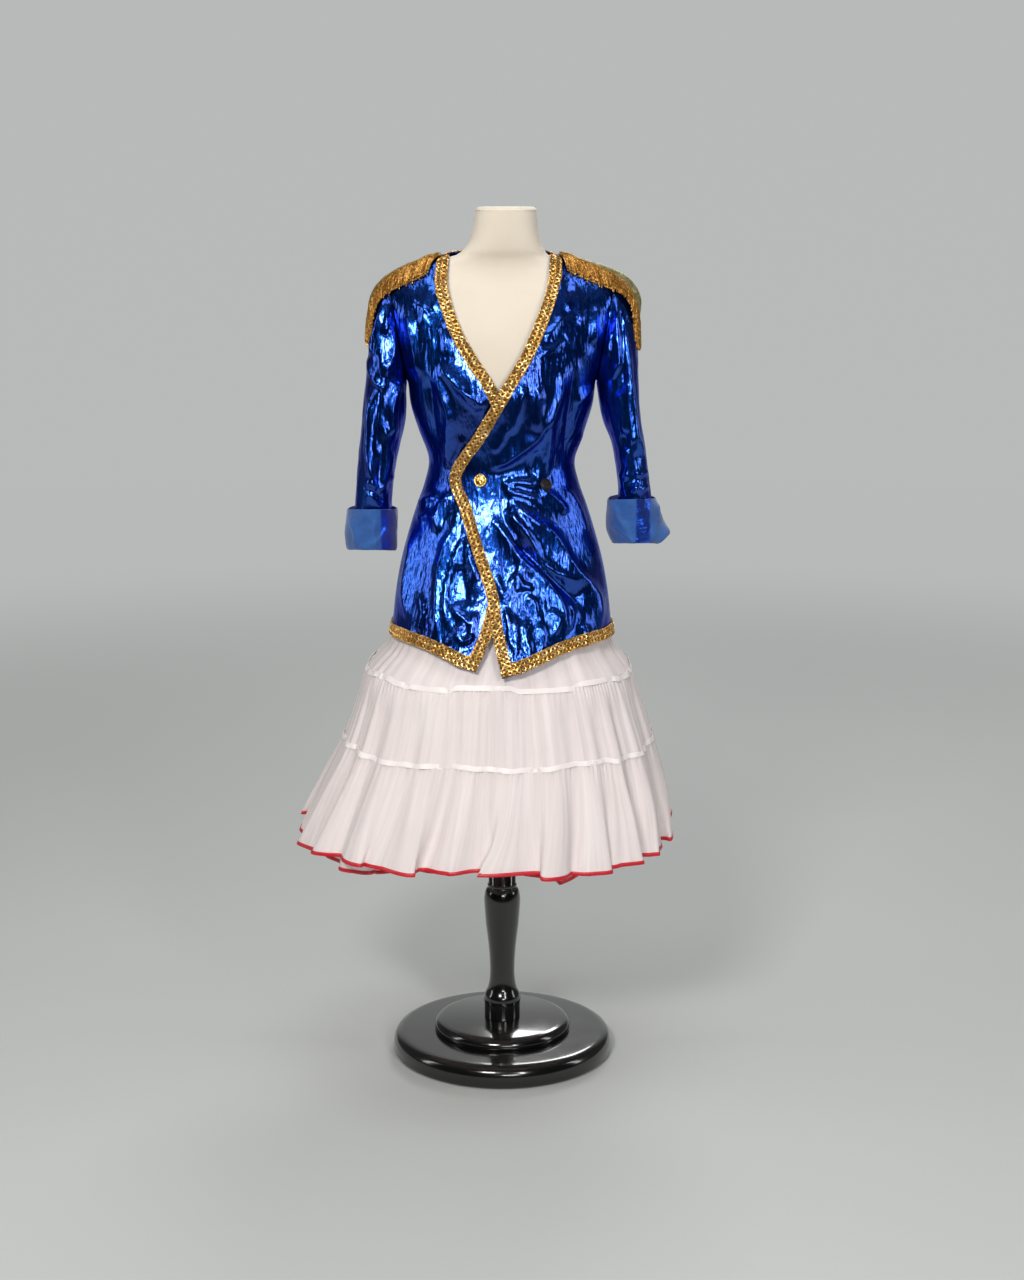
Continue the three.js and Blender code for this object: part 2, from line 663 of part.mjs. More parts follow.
// The petticoat: three tiers of gathered net on a waistband, and an under-flounce that shows below the lowest
// tier. Every tier's outer surface follows these sections. `wave` is the height of its folds, zero where it
// is gathered in.
const PETTICOAT = table("z half front back shift wave", [
  [380, 316, 300, 300, -27, 15],
  [405, 312, 296, 296, -26, 15],
  [480, 291, 273, 276, -15, 12],
  [569, 259, 238, 241, -6, 6],
  [630, 239, 219, 219, -5, 4],
  [690, 220, 200, 197, -5, 0],
  [732, 187, 174, 169, -1, 1],
  [764, 176, 160, 155, 0, 2],
  [866, 157, 121, 118, 0, 3],
  [930, 140, 104, 106, 0, 2],
  [984.6, 114.4, 85.4, 88.4, 0, 0],
]);
const UPPER_SEAM_Z = 690;
const LOWER_SEAM_Z = 569;
const HEM_Z = 405;
const RIBBON_WIDTH = 8;
const BINDING_WIDTH = 5.5;
const FOLD_SAMPLES = 4;

// A column of a tier. Folds are four columns wide: mid-slope, ridge, mid-slope, trough. They vary in place
// and depth.
function pleatedPoint(column, folds, z, inset, gather) {
  const section = smooth(PETTICOAT, z);
  const turn = (column / (folds * FOLD_SAMPLES)) * 2 * Math.PI;
  const angle = turn + 0.05 * Math.sin(3 * turn + 1) + 0.03 * Math.sin(7 * turn + 2.3);
  const phase = [0, 1, 0, -1][column % FOLD_SAMPLES];
  const depth = 0.72 + 0.28 * Math.sin(2.4 * Math.floor(column / FOLD_SAMPLES) + 0.6);
  const growth = gather * section.wave * phase * depth - inset;
  return ovalPoint(
    { ...section, half: section.half + growth, front: section.front + growth, back: section.back + growth },
    angle,
    z,
  );
}

// Rows of a tier, from its hem up. `hem` gives how far the lowest edge rises or dips at a share of the full
// turn.
function tier(folds, heights, hem = () => 0, under = heights.map(() => ({ inset: 0, gather: 1 }))) {
  const columns = Array.from({ length: folds * FOLD_SAMPLES }, (_, i) => i);
  const top = heights[heights.length - 1];
  return heights.map((z, j) =>
    columns.map((column) => {
      const share = (top - z) / (top - heights[0]);
      const height = z + share ** 3 * hem(column / columns.length);
      return pleatedPoint(column, folds, height, under[j].inset, under[j].gather);
    }),
  );
}

// A band that lies on a tier: the lowest or highest stretch of its rows, moved out.
function band(rows, gap) {
  const normals = outwardNormals(rows, true);
  return shell(moved(rows, normals, gap + RIBBON), moved(rows, normals, gap), true);
}

const UPPER_FOLDS = 12;
const LOWER_FOLDS = 24;

// How far inside the outer flounce the under-flounce hangs, and how much it shares its folds, from its hem
// up.
const UNDER_HANG = table("z inset gather", [
  [407, 30, -0.5],
  [470, 20, 0.1],
  [567, 1.9, 1],
]);

// The waistband is a flat strip round the form's waist, between the form's own sections below and above it.
const WAISTBAND_WIDTH = 18;
const WAISTBAND_THICK = 2;
const waistRow = FORM_SECTIONS.findIndex(({ z }) => z === WAIST_SEAT_Z);
const [waistBelow, waistAbove] = [FORM_SECTIONS[waistRow], FORM_SECTIONS[waistRow + 1]];
const waistbandRows = [WAIST_SEAT_Z, WAIST_SEAT_Z + WAISTBAND_WIDTH].map((z) => {
  const share = (z - waistBelow.z) / (waistAbove.z - waistBelow.z);
  const size = (name) => mix(waistBelow[name], waistAbove[name], share) + SEAM + WAISTBAND_THICK;
  return ring({ half: size("half"), front: size("front"), back: size("back"), shift: 0 }, FORM_SIDES, z);
});
const waistbandNormals = outwardNormals(waistbandRows, true);
add("petticoat_waistband", wallOf(waistbandRows, waistbandNormals, WAISTBAND_THICK, true), WHITE_SATIN);

const topTier = tier(UPPER_FOLDS, [UPPER_SEAM_Z + 2 * SEAM, 732, 764, 866, 984.6]);
add("petticoat_tier_upper", wallOf(topTier, outwardNormals(topTier, true), NET, true), WHITE_NET);

const middleTier = tier(LOWER_FOLDS, [LOWER_SEAM_Z + SEAM, 630, UPPER_SEAM_Z]);
add("petticoat_tier_middle", wallOf(middleTier, outwardNormals(middleTier, true), NET, true), WHITE_NET);

// The hems rise and fall a little. The under-flounce dips into view in a few places.
const hemRipple = (turn) => 5 * Math.sin(18.8 * turn + 1) + 3 * Math.sin(44 * turn);
const DIPS = table("turn depth width", [
  [0.13, 20, 0.03],
  [0.3, 24, 0.04],
  [0.46, 20, 0.03],
  [0.613, 27, 0.055],
  [0.815, 25, 0.026],
]);
const underHem = (turn) =>
  DIPS.reduce((height, dip) => height - dip.depth * Math.exp(-(((turn - dip.turn) / dip.width) ** 2)), 0);

const flounce = tier(LOWER_FOLDS, [HEM_Z, 440, 500, LOWER_SEAM_Z], hemRipple);
add("petticoat_flounce", wallOf(flounce, outwardNormals(flounce, true), NET, true), WHITE_NET);
const underHeights = UNDER_HANG.map(({ z }) => z);
const underFlounce = tier(LOWER_FOLDS, underHeights, underHem, UNDER_HANG);
const underNormals = outwardNormals(underFlounce, true);
add("petticoat_under_flounce", wallOf(underFlounce, underNormals, NET, true), WHITE_NET);

const ribbonAt = (folds, z) => tier(folds, [z - RIBBON_WIDTH / 2, z + RIBBON_WIDTH / 2]);
add("ribbon_upper", band(ribbonAt(UPPER_FOLDS, UPPER_SEAM_Z), 1.3), WHITE_SATIN);
add("ribbon_lower", band(ribbonAt(LOWER_FOLDS, LOWER_SEAM_Z), 0.8), WHITE_SATIN);

const bindingOn = (rows) => [rows[0], rows[0].map((point, i) => {
  const above = rows[1][i];
  return point.clone().lerp(above, BINDING_WIDTH / point.distanceTo(above));
})];
add("binding_flounce", band(bindingOn(flounce), SEAM), RED_SATIN);
add("binding_under_flounce", band(bindingOn(underFlounce), 2 * SEAM), RED_SATIN);

export default costume;
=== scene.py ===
import math

import bpy
import numpy as np
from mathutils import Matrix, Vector, noise


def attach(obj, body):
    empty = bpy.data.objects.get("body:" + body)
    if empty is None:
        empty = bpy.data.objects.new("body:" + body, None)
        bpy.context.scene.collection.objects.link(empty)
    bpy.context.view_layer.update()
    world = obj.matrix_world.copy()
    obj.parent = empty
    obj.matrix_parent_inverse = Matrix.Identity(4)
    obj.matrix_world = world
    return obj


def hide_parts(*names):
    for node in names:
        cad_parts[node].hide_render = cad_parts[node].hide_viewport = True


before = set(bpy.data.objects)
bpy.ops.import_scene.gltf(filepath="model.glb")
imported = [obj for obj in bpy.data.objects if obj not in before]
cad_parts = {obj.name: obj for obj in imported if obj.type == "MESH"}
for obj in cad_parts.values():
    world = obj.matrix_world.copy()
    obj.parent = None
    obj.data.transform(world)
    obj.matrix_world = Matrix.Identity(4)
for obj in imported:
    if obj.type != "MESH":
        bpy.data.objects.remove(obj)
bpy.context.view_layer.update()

# The studio. A pale sweep of floor, a broad soft light high in front and two narrow ones at the sides, whose
# reflections run down the lacquered post and break up on the lame. The camera looks slightly down.
CAMERA_DISTANCE = 3.8
CAMERA_HEIGHT = 1.55
CAMERA_PITCH = math.radians(12.18)

camera_data = bpy.data.cameras.new("camera")
camera_data.lens = 64.77
camera_data.sensor_width = 36.0
camera = bpy.data.objects.new("camera", camera_data)
camera.location = (0.017, -CAMERA_DISTANCE, CAMERA_HEIGHT)
camera.rotation_euler = (math.pi / 2 - CAMERA_PITCH, 0, 0)
bpy.context.scene.collection.objects.link(camera)
bpy.context.scene.camera = camera


def soft_light(name, place, target, size, power, colour=(1.0, 1.0, 1.0)):
    data = bpy.data.lights.new(name, "AREA")
    data.shape = "RECTANGLE"
    data.size, data.size_y = size
    data.energy = power
    data.color = colour
    light = bpy.data.objects.new(name, data)
    light.location = place
    light.rotation_euler = (Vector(target) - Vector(place)).to_track_quat("-Z", "Y").to_euler()
    bpy.context.scene.collection.objects.link(light)


soft_light("key_light", (-0.9, -3.2, 2.6), (0, 0, 1.0), (0.8, 0.5), 78, (1.0, 0.985, 0.96))
soft_light("fill_light", (1.3, -3.3, 2.0), (0, 0, 0.95), (0.35, 1.1), 26, (0.97, 0.985, 1.0))
soft_light("low_light", (0.5, -3.3, 1.0), (0, 0, 0.8), (1.0, 0.3), 15, (1.0, 0.985, 0.97))
soft_light("top_light", (0.0, -0.3, 3.4), (0, 0, 0.6), (1.8, 1.4), 24)
soft_light("left_light", (-3.0, -0.3, 1.5), (0, 0, 1.0), (0.4, 1.8), 12)
soft_light("right_light", (3.0, -0.3, 1.5), (0, 0, 1.0), (0.4, 1.8), 12)
soft_light("back_light", (0.6, 2.9, 2.6), (0, 0, 0.9), (1.6, 0.8), 46)

world = bpy.data.worlds.new("studio")
world.use_nodes = True
world.node_tree.nodes["Background"].inputs["Color"].default_value = (0.8, 0.82, 0.85, 1)
world.node_tree.nodes["Background"].inputs["Strength"].default_value = 0.12
bpy.context.scene.world = world
bpy.context.scene.view_settings.view_transform = "Standard"


def principled(name, **values):
    """A material with one Principled shader, whose sockets take the values given by their names."""
    material = bpy.data.materials.new(name)
    material.use_nodes = True
    shader = material.node_tree.nodes["Principled BSDF"]
    for key, value in values.items():
        shader.inputs[key.replace("_", " ")].default_value = value
    return material, material.node_tree, shader


def node(tree, kind, links=(), **settings):
    """Adds a node, sets its properties or input values by name, and links (output, input name) pairs."""
    made = tree.nodes.new(kind)
    for key, value in settings.items():
        label = key.replace("_", " ")
        if hasattr(made, key):
            setattr(made, key, value)
        else:
            made.inputs[label].default_value = value
    for output, name in links:
        tree.links.new(output, made.inputs[name])
    return made


def mapped(tree, value, low, high, start=0.0, stop=1.0, curve="LINEAR"):
    """A value whose range from start to stop is moved to the range from low to high."""
    made = node(tree, "ShaderNodeMapRange", [(value, "Value")], interpolation_type=curve)
    for label, number in (("From Min", start), ("From Max", stop), ("To Min", low), ("To Max", high)):
        made.inputs[label].default_value = number
    return made.outputs["Result"]


def blended(tree, factor, first, second):
    """A colour between two others, each given as a value or as a node's output."""
    made = node(tree, "ShaderNodeMix", [(factor, "Factor")], data_type="RGBA")
    for label, colour in (("A", first), ("B", second)):
        if isinstance(colour, tuple):
            made.inputs[label].default_value = colour
        else:
            tree.links.new(colour, made.inputs[label])
    return made.outputs["Result"]


WALL = 7.0
BACKDROP = (0.47, 0.485, 0.475, 1)
DARK_ROOM = (0.018, 0.018, 0.019, 1)
PALE_FLOOR = (0.55, 0.565, 0.55, 1)

WALL_SIDES = 96
wall_turns = [2 * math.pi * i / WALL_SIDES for i in range(WALL_SIDES)]
wall_plan = [(WALL * math.cos(turn), WALL * math.sin(turn)) for turn in wall_turns]
room_points = [(0, 0, -0.001)] + [(x * r, y * r, -0.001) for r in (0.25, 0.6, 1) for x, y in wall_plan]
room_points += [(x, y, z) for z in (1.5, 4.0, 7.0) for x, y in wall_plan]
room_faces = [(0, 1 + i, 1 + (i + 1) % WALL_SIDES) for i in range(WALL_SIDES)]
for level in range(5):
    low, high = 1 + WALL_SIDES * level, 1 + WALL_SIDES * (level + 1)
    for i in range(WALL_SIDES):
        k = (i + 1) % WALL_SIDES
        room_faces.append((low + i, high + i, high + k, low + k))
room_mesh = bpy.data.meshes.new("room")
room_mesh.from_pydata(room_points, [], room_faces)
room = bpy.data.objects.new("room", room_mesh)
bpy.context.scene.collection.objects.link(room)
paint, tree, shader = principled("grey_room", Roughness=0.95, Specular_IOR_Level=0.0, Emission_Strength=1.0)
place = node(tree, "ShaderNodeTexCoord")
axes = node(tree, "ShaderNodeSeparateXYZ", [(place.outputs["Object"], "Vector")])
away = node(tree, "ShaderNodeVectorMath", [(place.outputs["Object"], "Vector")], operation="LENGTH")
aside = node(tree, "ShaderNodeMath", [(axes.outputs["X"], 0)], operation="ABSOLUTE")


def product(first, second):
    """The product of two node outputs."""
    return node(tree, "ShaderNodeMath", [(first, 0), (second, 1)], operation="MULTIPLY").outputs["Value"]


# The backdrop glows far behind the object, and the room is dark in front of it, where the lame mirrors it.
behind = mapped(tree, axes.outputs["Y"], 0.0, 1.0, -1.7, -0.85, "SMOOTHSTEP")
far = mapped(tree, away.outputs["Value"], 0.0, 1.0, 1.2, 5.0, "SMOOTHSTEP")
between = mapped(tree, aside.outputs["Value"], 1.0, 0.16, 2.4, 4.6, "SMOOTHSTEP")
back = product(behind, far)
near = mapped(tree, back, 1.0, 0.0)
glow = blended(tree, product(back, between), (0, 0, 0, 1), BACKDROP)
tree.links.new(glow, shader.inputs["Emission Color"])
floor_paint = blended(tree, product(near, behind), DARK_ROOM, PALE_FLOOR)
tree.links.new(floor_paint, shader.inputs["Base Color"])
room_mesh.materials.append(paint)

# The stand. Two stacked discs and a baluster post, turned from hardwood and sprayed with several coats of
# black lacquer. The post is screwed up through the discs and enters the form's foot.
MM = 0.001


def link_piece(name, mesh, material, slot_name, *replaced):
    """Puts a finished mesh in the scene, in place of the CAD nodes named."""
    piece = bpy.data.objects.new(name, mesh)
    bpy.context.scene.collection.objects.link(piece)
    mesh.materials.append(material)
    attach(piece, "root")
    if replaced:
        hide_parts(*replaced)
    return piece


def turned_mesh(name, profile, sides=96):
    """A closed solid of revolution about Z. The profile is (radius, height) in mm, from axis to axis."""
    points, faces = [], []
    rings = []
    for radius, height in profile:
        if radius == 0:
            rings.append([len(points)])
            points.append((0, 0, height * MM))
            continue
        start = len(points)
        rings.append(list(range(start, start + sides)))
        for i in range(sides):
            angle = 2 * math.pi * i / sides
            points.append((radius * MM * math.cos(angle), radius * MM * math.sin(angle), height * MM))
    for low, high in zip(rings, rings[1:]):
        for i in range(sides):
            k = (i + 1) % sides
            corners = [low[i % len(low)], low[k % len(low)], high[k % len(high)], high[i % len(high)]]
            faces.append(list(dict.fromkeys(corners)))
    mesh = bpy.data.meshes.new(name)
    mesh.from_pydata(points, [], faces)
    mesh.shade_smooth()
    mesh.set_sharp_from_angle(angle=math.radians(40))
    return mesh


def curved_profile(points, per=8):
    """More points along a Catmull-Rom curve through a profile."""
    out = []
    for i in range(len(points) - 1):
        p = [points[max(i - 1, 0)], points[i], points[i + 1], points[min(i + 2, len(points) - 1)]]
        for k in range(per):
            t = k / per
            out.append(
                tuple(
                    0.5
                    * (
                        2 * p[1][c]
                        + (p[2][c] - p[0][c]) * t
                        + (2 * p[0][c] - 5 * p[1][c] + 4 * p[2][c] - p[3][c]) * t * t
                        + (3 * p[1][c] - p[0][c] - 3 * p[2][c] + p[3][c]) * t**3
                    )
                    for c in (0, 1)
                )
            )
    return out + [points[-1]]


def texture_group(name, kind, space, reading, *labels):
    """A shader group that reads one texture as a height, with Stretch and the labelled values as inputs."""
    group = bpy.data.node_groups.new(name, "ShaderNodeTree")
    group.interface.new_socket("Stretch", in_out="INPUT", socket_type="NodeSocketVector")
    for label in labels:
        group.interface.new_socket(label, in_out="INPUT", socket_type="NodeSocketFloat")
    group.interface.new_socket("Height", in_out="OUTPUT", socket_type="NodeSocketFloat")
    entry, end = group.nodes.new("NodeGroupInput"), group.nodes.new("NodeGroupOutput")
    place = node(group, "ShaderNodeTexCoord")
    stretched = node(
        group, "ShaderNodeMapping", [(place.outputs[space], "Vector"), (entry.outputs["Stretch"], "Scale")]
    )
    links = [(stretched.outputs["Vector"], "Vector")]
    links += [(entry.outputs[label], label) for label in labels]
    group.links.new(node(group, kind, links).outputs[reading], end.inputs["Height"])
    return group


def texture(tree, group, stretch=(1.0, 1.0, 1.0), **values):
    """A texture group's height in a material, with the material's own values."""
    made = node(tree, "ShaderNodeGroup", node_tree=group, **values)
    made.inputs["Stretch"].default_value = stretch
    return made.outputs["Height"]


MOTTLE = texture_group("mottle", "ShaderNodeTexNoise", "Object", "Fac", "Scale", "Detail", "Distortion")


def mottle(tree, scale, detail, stretch=(1.0, 1.0, 1.0), distortion=0.0):
    """Cloudy noise over a piece, drawn out along an axis where the stretch is less than 1."""
    return texture(tree, MOTTLE, stretch, Scale=scale, Detail=detail, Distortion=distortion)


def bump(tree, height, strength, distance, below=None):
    """The normal of a relief, laid over another one where it is given."""
    links = [(height, "Height")]
    if below is not None:
        links.append((below, "Normal"))
    return node(tree, "ShaderNodeBump", links, Strength=strength, Distance=distance).outputs["Normal"]


lacquer, tree, shader = principled(
    "black_lacquer", Base_Color=(0.006, 0.0055, 0.0055, 1), Coat_Weight=0.6, Coat_Roughness=0.06
)
dust = mapped(tree, mottle(tree, 26.0, 6.0), 0.1, 0.26)
tree.links.new(dust, shader.inputs["Roughness"])
orange_peel = bump(tree, mottle(tree, 9.0, 2.0), 0.05, 0.01)
tree.links.new(orange_peel, shader.inputs["Normal"])

base_edge = curved_profile([(186, 0), (189.5, 5), (189.5, 20), (185, 31), (176, 36.5), (166, 38)])
base_mesh = turned_mesh("stand_base", [(0, 0), *base_edge, (0, 38)])
link_piece("stand_base_turned", base_mesh, lacquer, "black_lacquer", "stand_base")
step_edge = curved_profile([(116, 38.4), (118, 43), (117, 49), (112, 55), (104, 58)])
step_mesh = turned_mesh("stand_step", [(0, 38.4), *step_edge, (0, 58)])
link_piece("stand_step_turned", step_mesh, lacquer, "black_lacquer", "stand_step")
post_lower = curved_profile(
    [(31.5, 85.5), (32, 92), (30.5, 100), (25, 112), (22, 128), (21.4, 150), (23.5, 186), (28.5, 228)]
)
post_upper = curved_profile([(31, 262), (31.2, 276), (28.6, 289), (24.4, 294.5)])
post_profile = [
    (0, 58.4), (30.2, 58.4), (31, 59.2), (31, 83.6), (30.2, 84.4), (30.2, 85.2), *post_lower, *post_upper,
    (24.2, 296), (25.2, 297), (25.2, 299.5), (24.2, 300.5), (23.4, 301.5), (23.4, 339), (22, 341), (16, 352),
    (16, 704.6), (0, 704.6),
]
post_mesh = turned_mesh("stand_post", post_profile)
link_piece("stand_post_turned", post_mesh, lacquer, "black_lacquer", "stand_post")

# The dress form. A padded torso with a long neck and no arms or head, covered in fine cream cotton jersey.
# A narrow seam shows where it is tucked in round the neck's flat cap. Every section is a squarish oval.
SQUARENESS = 2.3


def table(columns, *rows):
    """Rows of numbers as dictionaries with the named columns."""
    names = columns.split()
    return [dict(zip(names, row)) for row in rows]


def smooth(rows, at):
    """Reads a table at a value of its first column, on a smooth curve through its rows."""
    names = list(rows[0])
    key, last = names[0], len(rows) - 1
    at = min(max(at, rows[0][key]), rows[last][key])
    i = 0
    while i < last - 1 and rows[i + 1][key] < at:
        i += 1
    a, b = rows[i], rows[i + 1]
    before, after = rows[max(i - 1, 0)], rows[min(i + 2, last)]
    span = b[key] - a[key]
    t = (at - a[key]) / span
    result = {key: at}
    for name in names[1:]:
        slope_a = span * (b[name] - before[name]) / (b[key] - before[key])
        slope_b = span * (after[name] - a[name]) / (after[key] - a[key])
        rise = b[name] - a[name]
        result[name] = (
            a[name]
            + t * slope_a
            + t * t * (3 * rise - 2 * slope_a - slope_b)
            + t**3 * (slope_a + slope_b - 2 * rise)
        )
    return result


def oval_point(section, angle, z):
    """A point of a section in mm. Angle 0 is the wearer's left, and the front is at negative angles."""
    c, s = math.cos(angle), math.sin(angle)
    depth = section["front"] if s < 0 else section["back"]
    power = 2 / SQUARENESS
    return (
        section["shift"] + section["half"] * math.copysign(abs(c) ** power, c),
        depth * math.copysign(abs(s) ** power, s),
        z,
    )


def oval_ring(section, z, count):
    return [oval_point(section, 2 * math.pi * i / count, z) for i in range(count)]


def mix(low, high, share):
    return low + (high - low) * share


def clamp(value, low=0.0, high=1.0):
    return min(max(value, low), high)


FORM_SECTIONS = table(
    "z half front back shift",
    (705, 146, 102, 102, 0),
    (745, 153, 109, 111, 0),
    (840, 153, 109, 111, 0),
    (900, 137, 97, 101, 0),
    (985, 112, 83, 86, 0),
    (1040, 107, 80, 76, 0),
    (1090, 117, 92, 79, 0),
    (1130, 128, 107, 84, 0),
    (1165, 134, 116, 88, 0),
    (1215, 140, 107, 90, 0),
    (1262, 150, 90, 86, 0),
    (1318, 165, 57, 62, 0),
    (1334, 163, 42, 47, 0),
    (1352, 138, 33, 42, 0),
    (1364, 101, 33, 47, 0),
    (1371, 76, 37, 51, 1),
    (1378, 68, 43, 54, 3),
    (1390, 60, 47, 56, 5),
    (1410, 54, 50, 54, 6),
    (1441, 49.5, 52, 50, 7),
    (1446, 47.5, 50, 48, 7),
    (1448.5, 44, 46, 44, 7),
)


def turn_normals(grid, closed):
    """Unit normals of a grid's outer side: away from the middle of each ring, or from the Z axis."""
    if closed:
        along = np.roll(grid, -1, axis=1) - np.roll(grid, 1, axis=1)
        middle = grid.mean(axis=1, keepdims=True)
    else:
        along = np.gradient(grid, axis=1)
        middle = grid * (0, 0, 1)
    normals = np.cross(along, np.gradient(grid, axis=0))
    normals /= np.maximum(np.linalg.norm(normals, axis=2, keepdims=True), 1e-9)
    return normals if np.sum(normals * (grid - middle)) > 0 else -normals


def wall_mesh(name, outer, inner, closed=False, keep=None):
    """A closed wall between two grids of points in mm, with a UV map in metres of cloth. `keep` picks the
    cells that the piece covers."""
    high, wide, _ = outer.shape
    cells = wide if closed else wide - 1
    keep = np.ones((high - 1, cells), bool) if keep is None else keep
    index = np.arange(high * wide).reshape(high, wide)
    right = np.roll(index, -1, axis=1)
    a, b, c, d = index[:-1, :cells], right[:-1, :cells], right[1:, :cells], index[1:, :cells]
    below = high * wide
    around = np.zeros((high + 1, cells + 2), bool)
    around[1:-1, 1:-1] = keep
    if closed:
        around[:, 0], around[:, -1] = around[:, -2], around[:, 1]
    faces = [np.stack([corner[keep] for corner in (a, b, c, d)], axis=1)]
    faces.append(np.stack([corner[keep] + below for corner in (a, d, c, b)], axis=1))
    rims = (
        (around[:-2, 1:-1], b, a),
        (around[1:-1, 2:], c, b),
        (around[2:, 1:-1], d, c),
        (around[1:-1, :-2], a, d),
    )
    for neighbour, near, far in rims:
        rim = keep & ~neighbour
        faces.append(np.stack([near[rim], far[rim], far[rim] + below, near[rim] + below], axis=1))
    faces = np.concatenate(faces)
    points = np.concatenate([outer.reshape(-1, 3), inner.reshape(-1, 3)]) * MM
    used, renumbered = np.unique(faces, return_inverse=True)
    faces = renumbered.reshape(faces.shape)
    points = points[used]
    corners = points[faces]
    volume = 0.0
    for second, third in ((1, 2), (2, 3)):
        volume += np.sum(corners[:, 0] * np.cross(corners[:, second], corners[:, third]))
    if volume < 0:
        faces = faces[:, ::-1]
    mesh = bpy.data.meshes.new(name)
    mesh.from_pydata(points.tolist(), [], faces.tolist())
    widths = np.linalg.norm(np.diff(outer, axis=1), axis=2).mean(axis=0)
    heights = np.linalg.norm(np.diff(outer, axis=0), axis=2).mean(axis=1)
    across = np.concatenate([[0], np.cumsum(widths)]) * MM
    up = np.concatenate([[0], np.cumsum(heights)]) * MM
    place = used[faces.ravel()] % below
    uv = mesh.uv_layers.new(name="cloth")
    uv.data.foreach_set("uv", np.stack([across[place % wide], up[place // wide]], axis=1).ravel())
    mesh.shade_smooth()
    mesh.set_sharp_from_angle(angle=math.radians(55))
    return mesh


def lofted_mesh(name, rings):
    """A closed, capped mesh through rings of points in millimetres, from the lowest up."""
    wide = len(rings[0])
    faces = []
    for j in range(len(rings) - 1):
        for i in range(wide):
            k = (i + 1) % wide
            faces.append((j * wide + i, j * wide + k, (j + 1) * wide + k, (j + 1) * wide + i))
    top = (len(rings) - 1) * wide
    faces.append([i for i in reversed(range(wide))])
    faces.append([top + i for i in range(wide)])
    mesh = bpy.data.meshes.new(name)
    mesh.from_pydata((np.array(rings).reshape(-1, 3) * MM).tolist(), [], faces)
    mesh.shade_smooth()
    mesh.set_sharp_from_angle(angle=math.radians(50))
    return mesh


FORM_LOW_Z, NECK_EDGE_Z = 705, 1441
FORM_ROWS, FORM_COLUMNS = 180, 128
form_rows = []
for step in range(FORM_ROWS + 1):
    z = mix(FORM_LOW_Z, NECK_EDGE_Z, step / FORM_ROWS)
    form_rows.append(oval_ring(smooth(FORM_SECTIONS, z), z, FORM_COLUMNS))
neck = smooth(FORM_SECTIONS, NECK_EDGE_Z)
for inset, z in (
    (0.0, 1442.4), (0.9, 1442.9), (0.9, 1443.6), (0.0, 1444.1),
    (0.6, 1445.6), (1.9, 1447.2), (4.2, 1448.3), (7.5, 1448.5),
):
    section = {key: neck[key] - inset for key in ("half", "front", "back")}
    section["shift"] = neck["shift"]
    form_rows.append(oval_ring(section, z, FORM_COLUMNS))


def ramp(tree, shade, *stops):
    """A colour that follows a shade between stops of (position, colour)."""
    made = node(tree, "ShaderNodeValToRGB", [(shade, "Fac")])
    elements = made.color_ramp.elements
    elements[0].position, elements[0].color = stops[0]
    elements[1].position, elements[1].color = stops[-1]
    for position, colour in stops[1:-1]:
        elements.new(position).color = colour
    return made.outputs["Color"]


THREADS = texture_group("thread_cells", "ShaderNodeTexVoronoi", "Object", "Distance", "Scale")

jersey, tree, shader = principled("cream_jersey", Roughness=0.88, Sheen_Weight=0.25, Sheen_Roughness=0.5)
cream = ramp(tree, mottle(tree, 7.0, 4.0), (0.3, (0.74, 0.655, 0.535, 1)), (0.75, (0.80, 0.72, 0.605, 1)))
tree.links.new(cream, shader.inputs["Base Color"])
tree.links.new(bump(tree, texture(tree, THREADS, Scale=700.0), 0.25, 0.0006), shader.inputs["Normal"])
link_piece("form_torso_jersey", lofted_mesh("form_torso", form_rows), jersey, "cream_jersey", "form_torso")

# The petticoat. Three tiers of stiff white net, each gathered into the one above, hung from a satin waistband
# under the jacket, with a fourth flounce inside the lowest. The net is cut straight and drawn up on thread,
# so that it stands in tubes that wander and roll over near the hem.
PETTICOAT = table(
    "z half front back shift wave",
    (380, 316, 300, 300, -27, 15),
    (405, 312, 296, 296, -26, 15),
    (480, 291, 273, 276, -15, 12),
    (569, 259, 238, 241, -6, 6),
    (630, 239, 219, 219, -5, 4),
    (690, 220, 200, 197, -5, 0),
    (732, 187, 174, 169, -1, 1),
    (764, 176, 160, 155, 0, 2),
    (866, 157, 121, 118, 0, 3),
    (930, 140, 104, 106, 0, 2),
    (984.6, 114.4, 85.4, 88.4, 0, 0),
)
UPPER_SEAM_Z, LOWER_SEAM_Z, HEM_Z = 690, 569, 405
UPPER_FOLDS, LOWER_FOLDS = 12, 24
NET_THICK = 0.5
UNDER_HANG = table("z inset gather", (407, 30, -0.5), (470, 20, 0.1), (567, 1.9, 1))
DIPS = table(
    "turn depth width",
    (0.13, 20, 0.03), (0.3, 24, 0.04), (0.46, 20, 0.03), (0.613, 27, 0.055), (0.815, 25, 0.026),
)


def hem_ripple(turn):
    return 5 * math.sin(18.8 * turn + 1) + 3 * math.sin(44 * turn)


def under_hem(turn):
    return -sum(dip["depth"] * math.exp(-(((turn - dip["turn"]) / dip["width"]) ** 2)) for dip in DIPS)


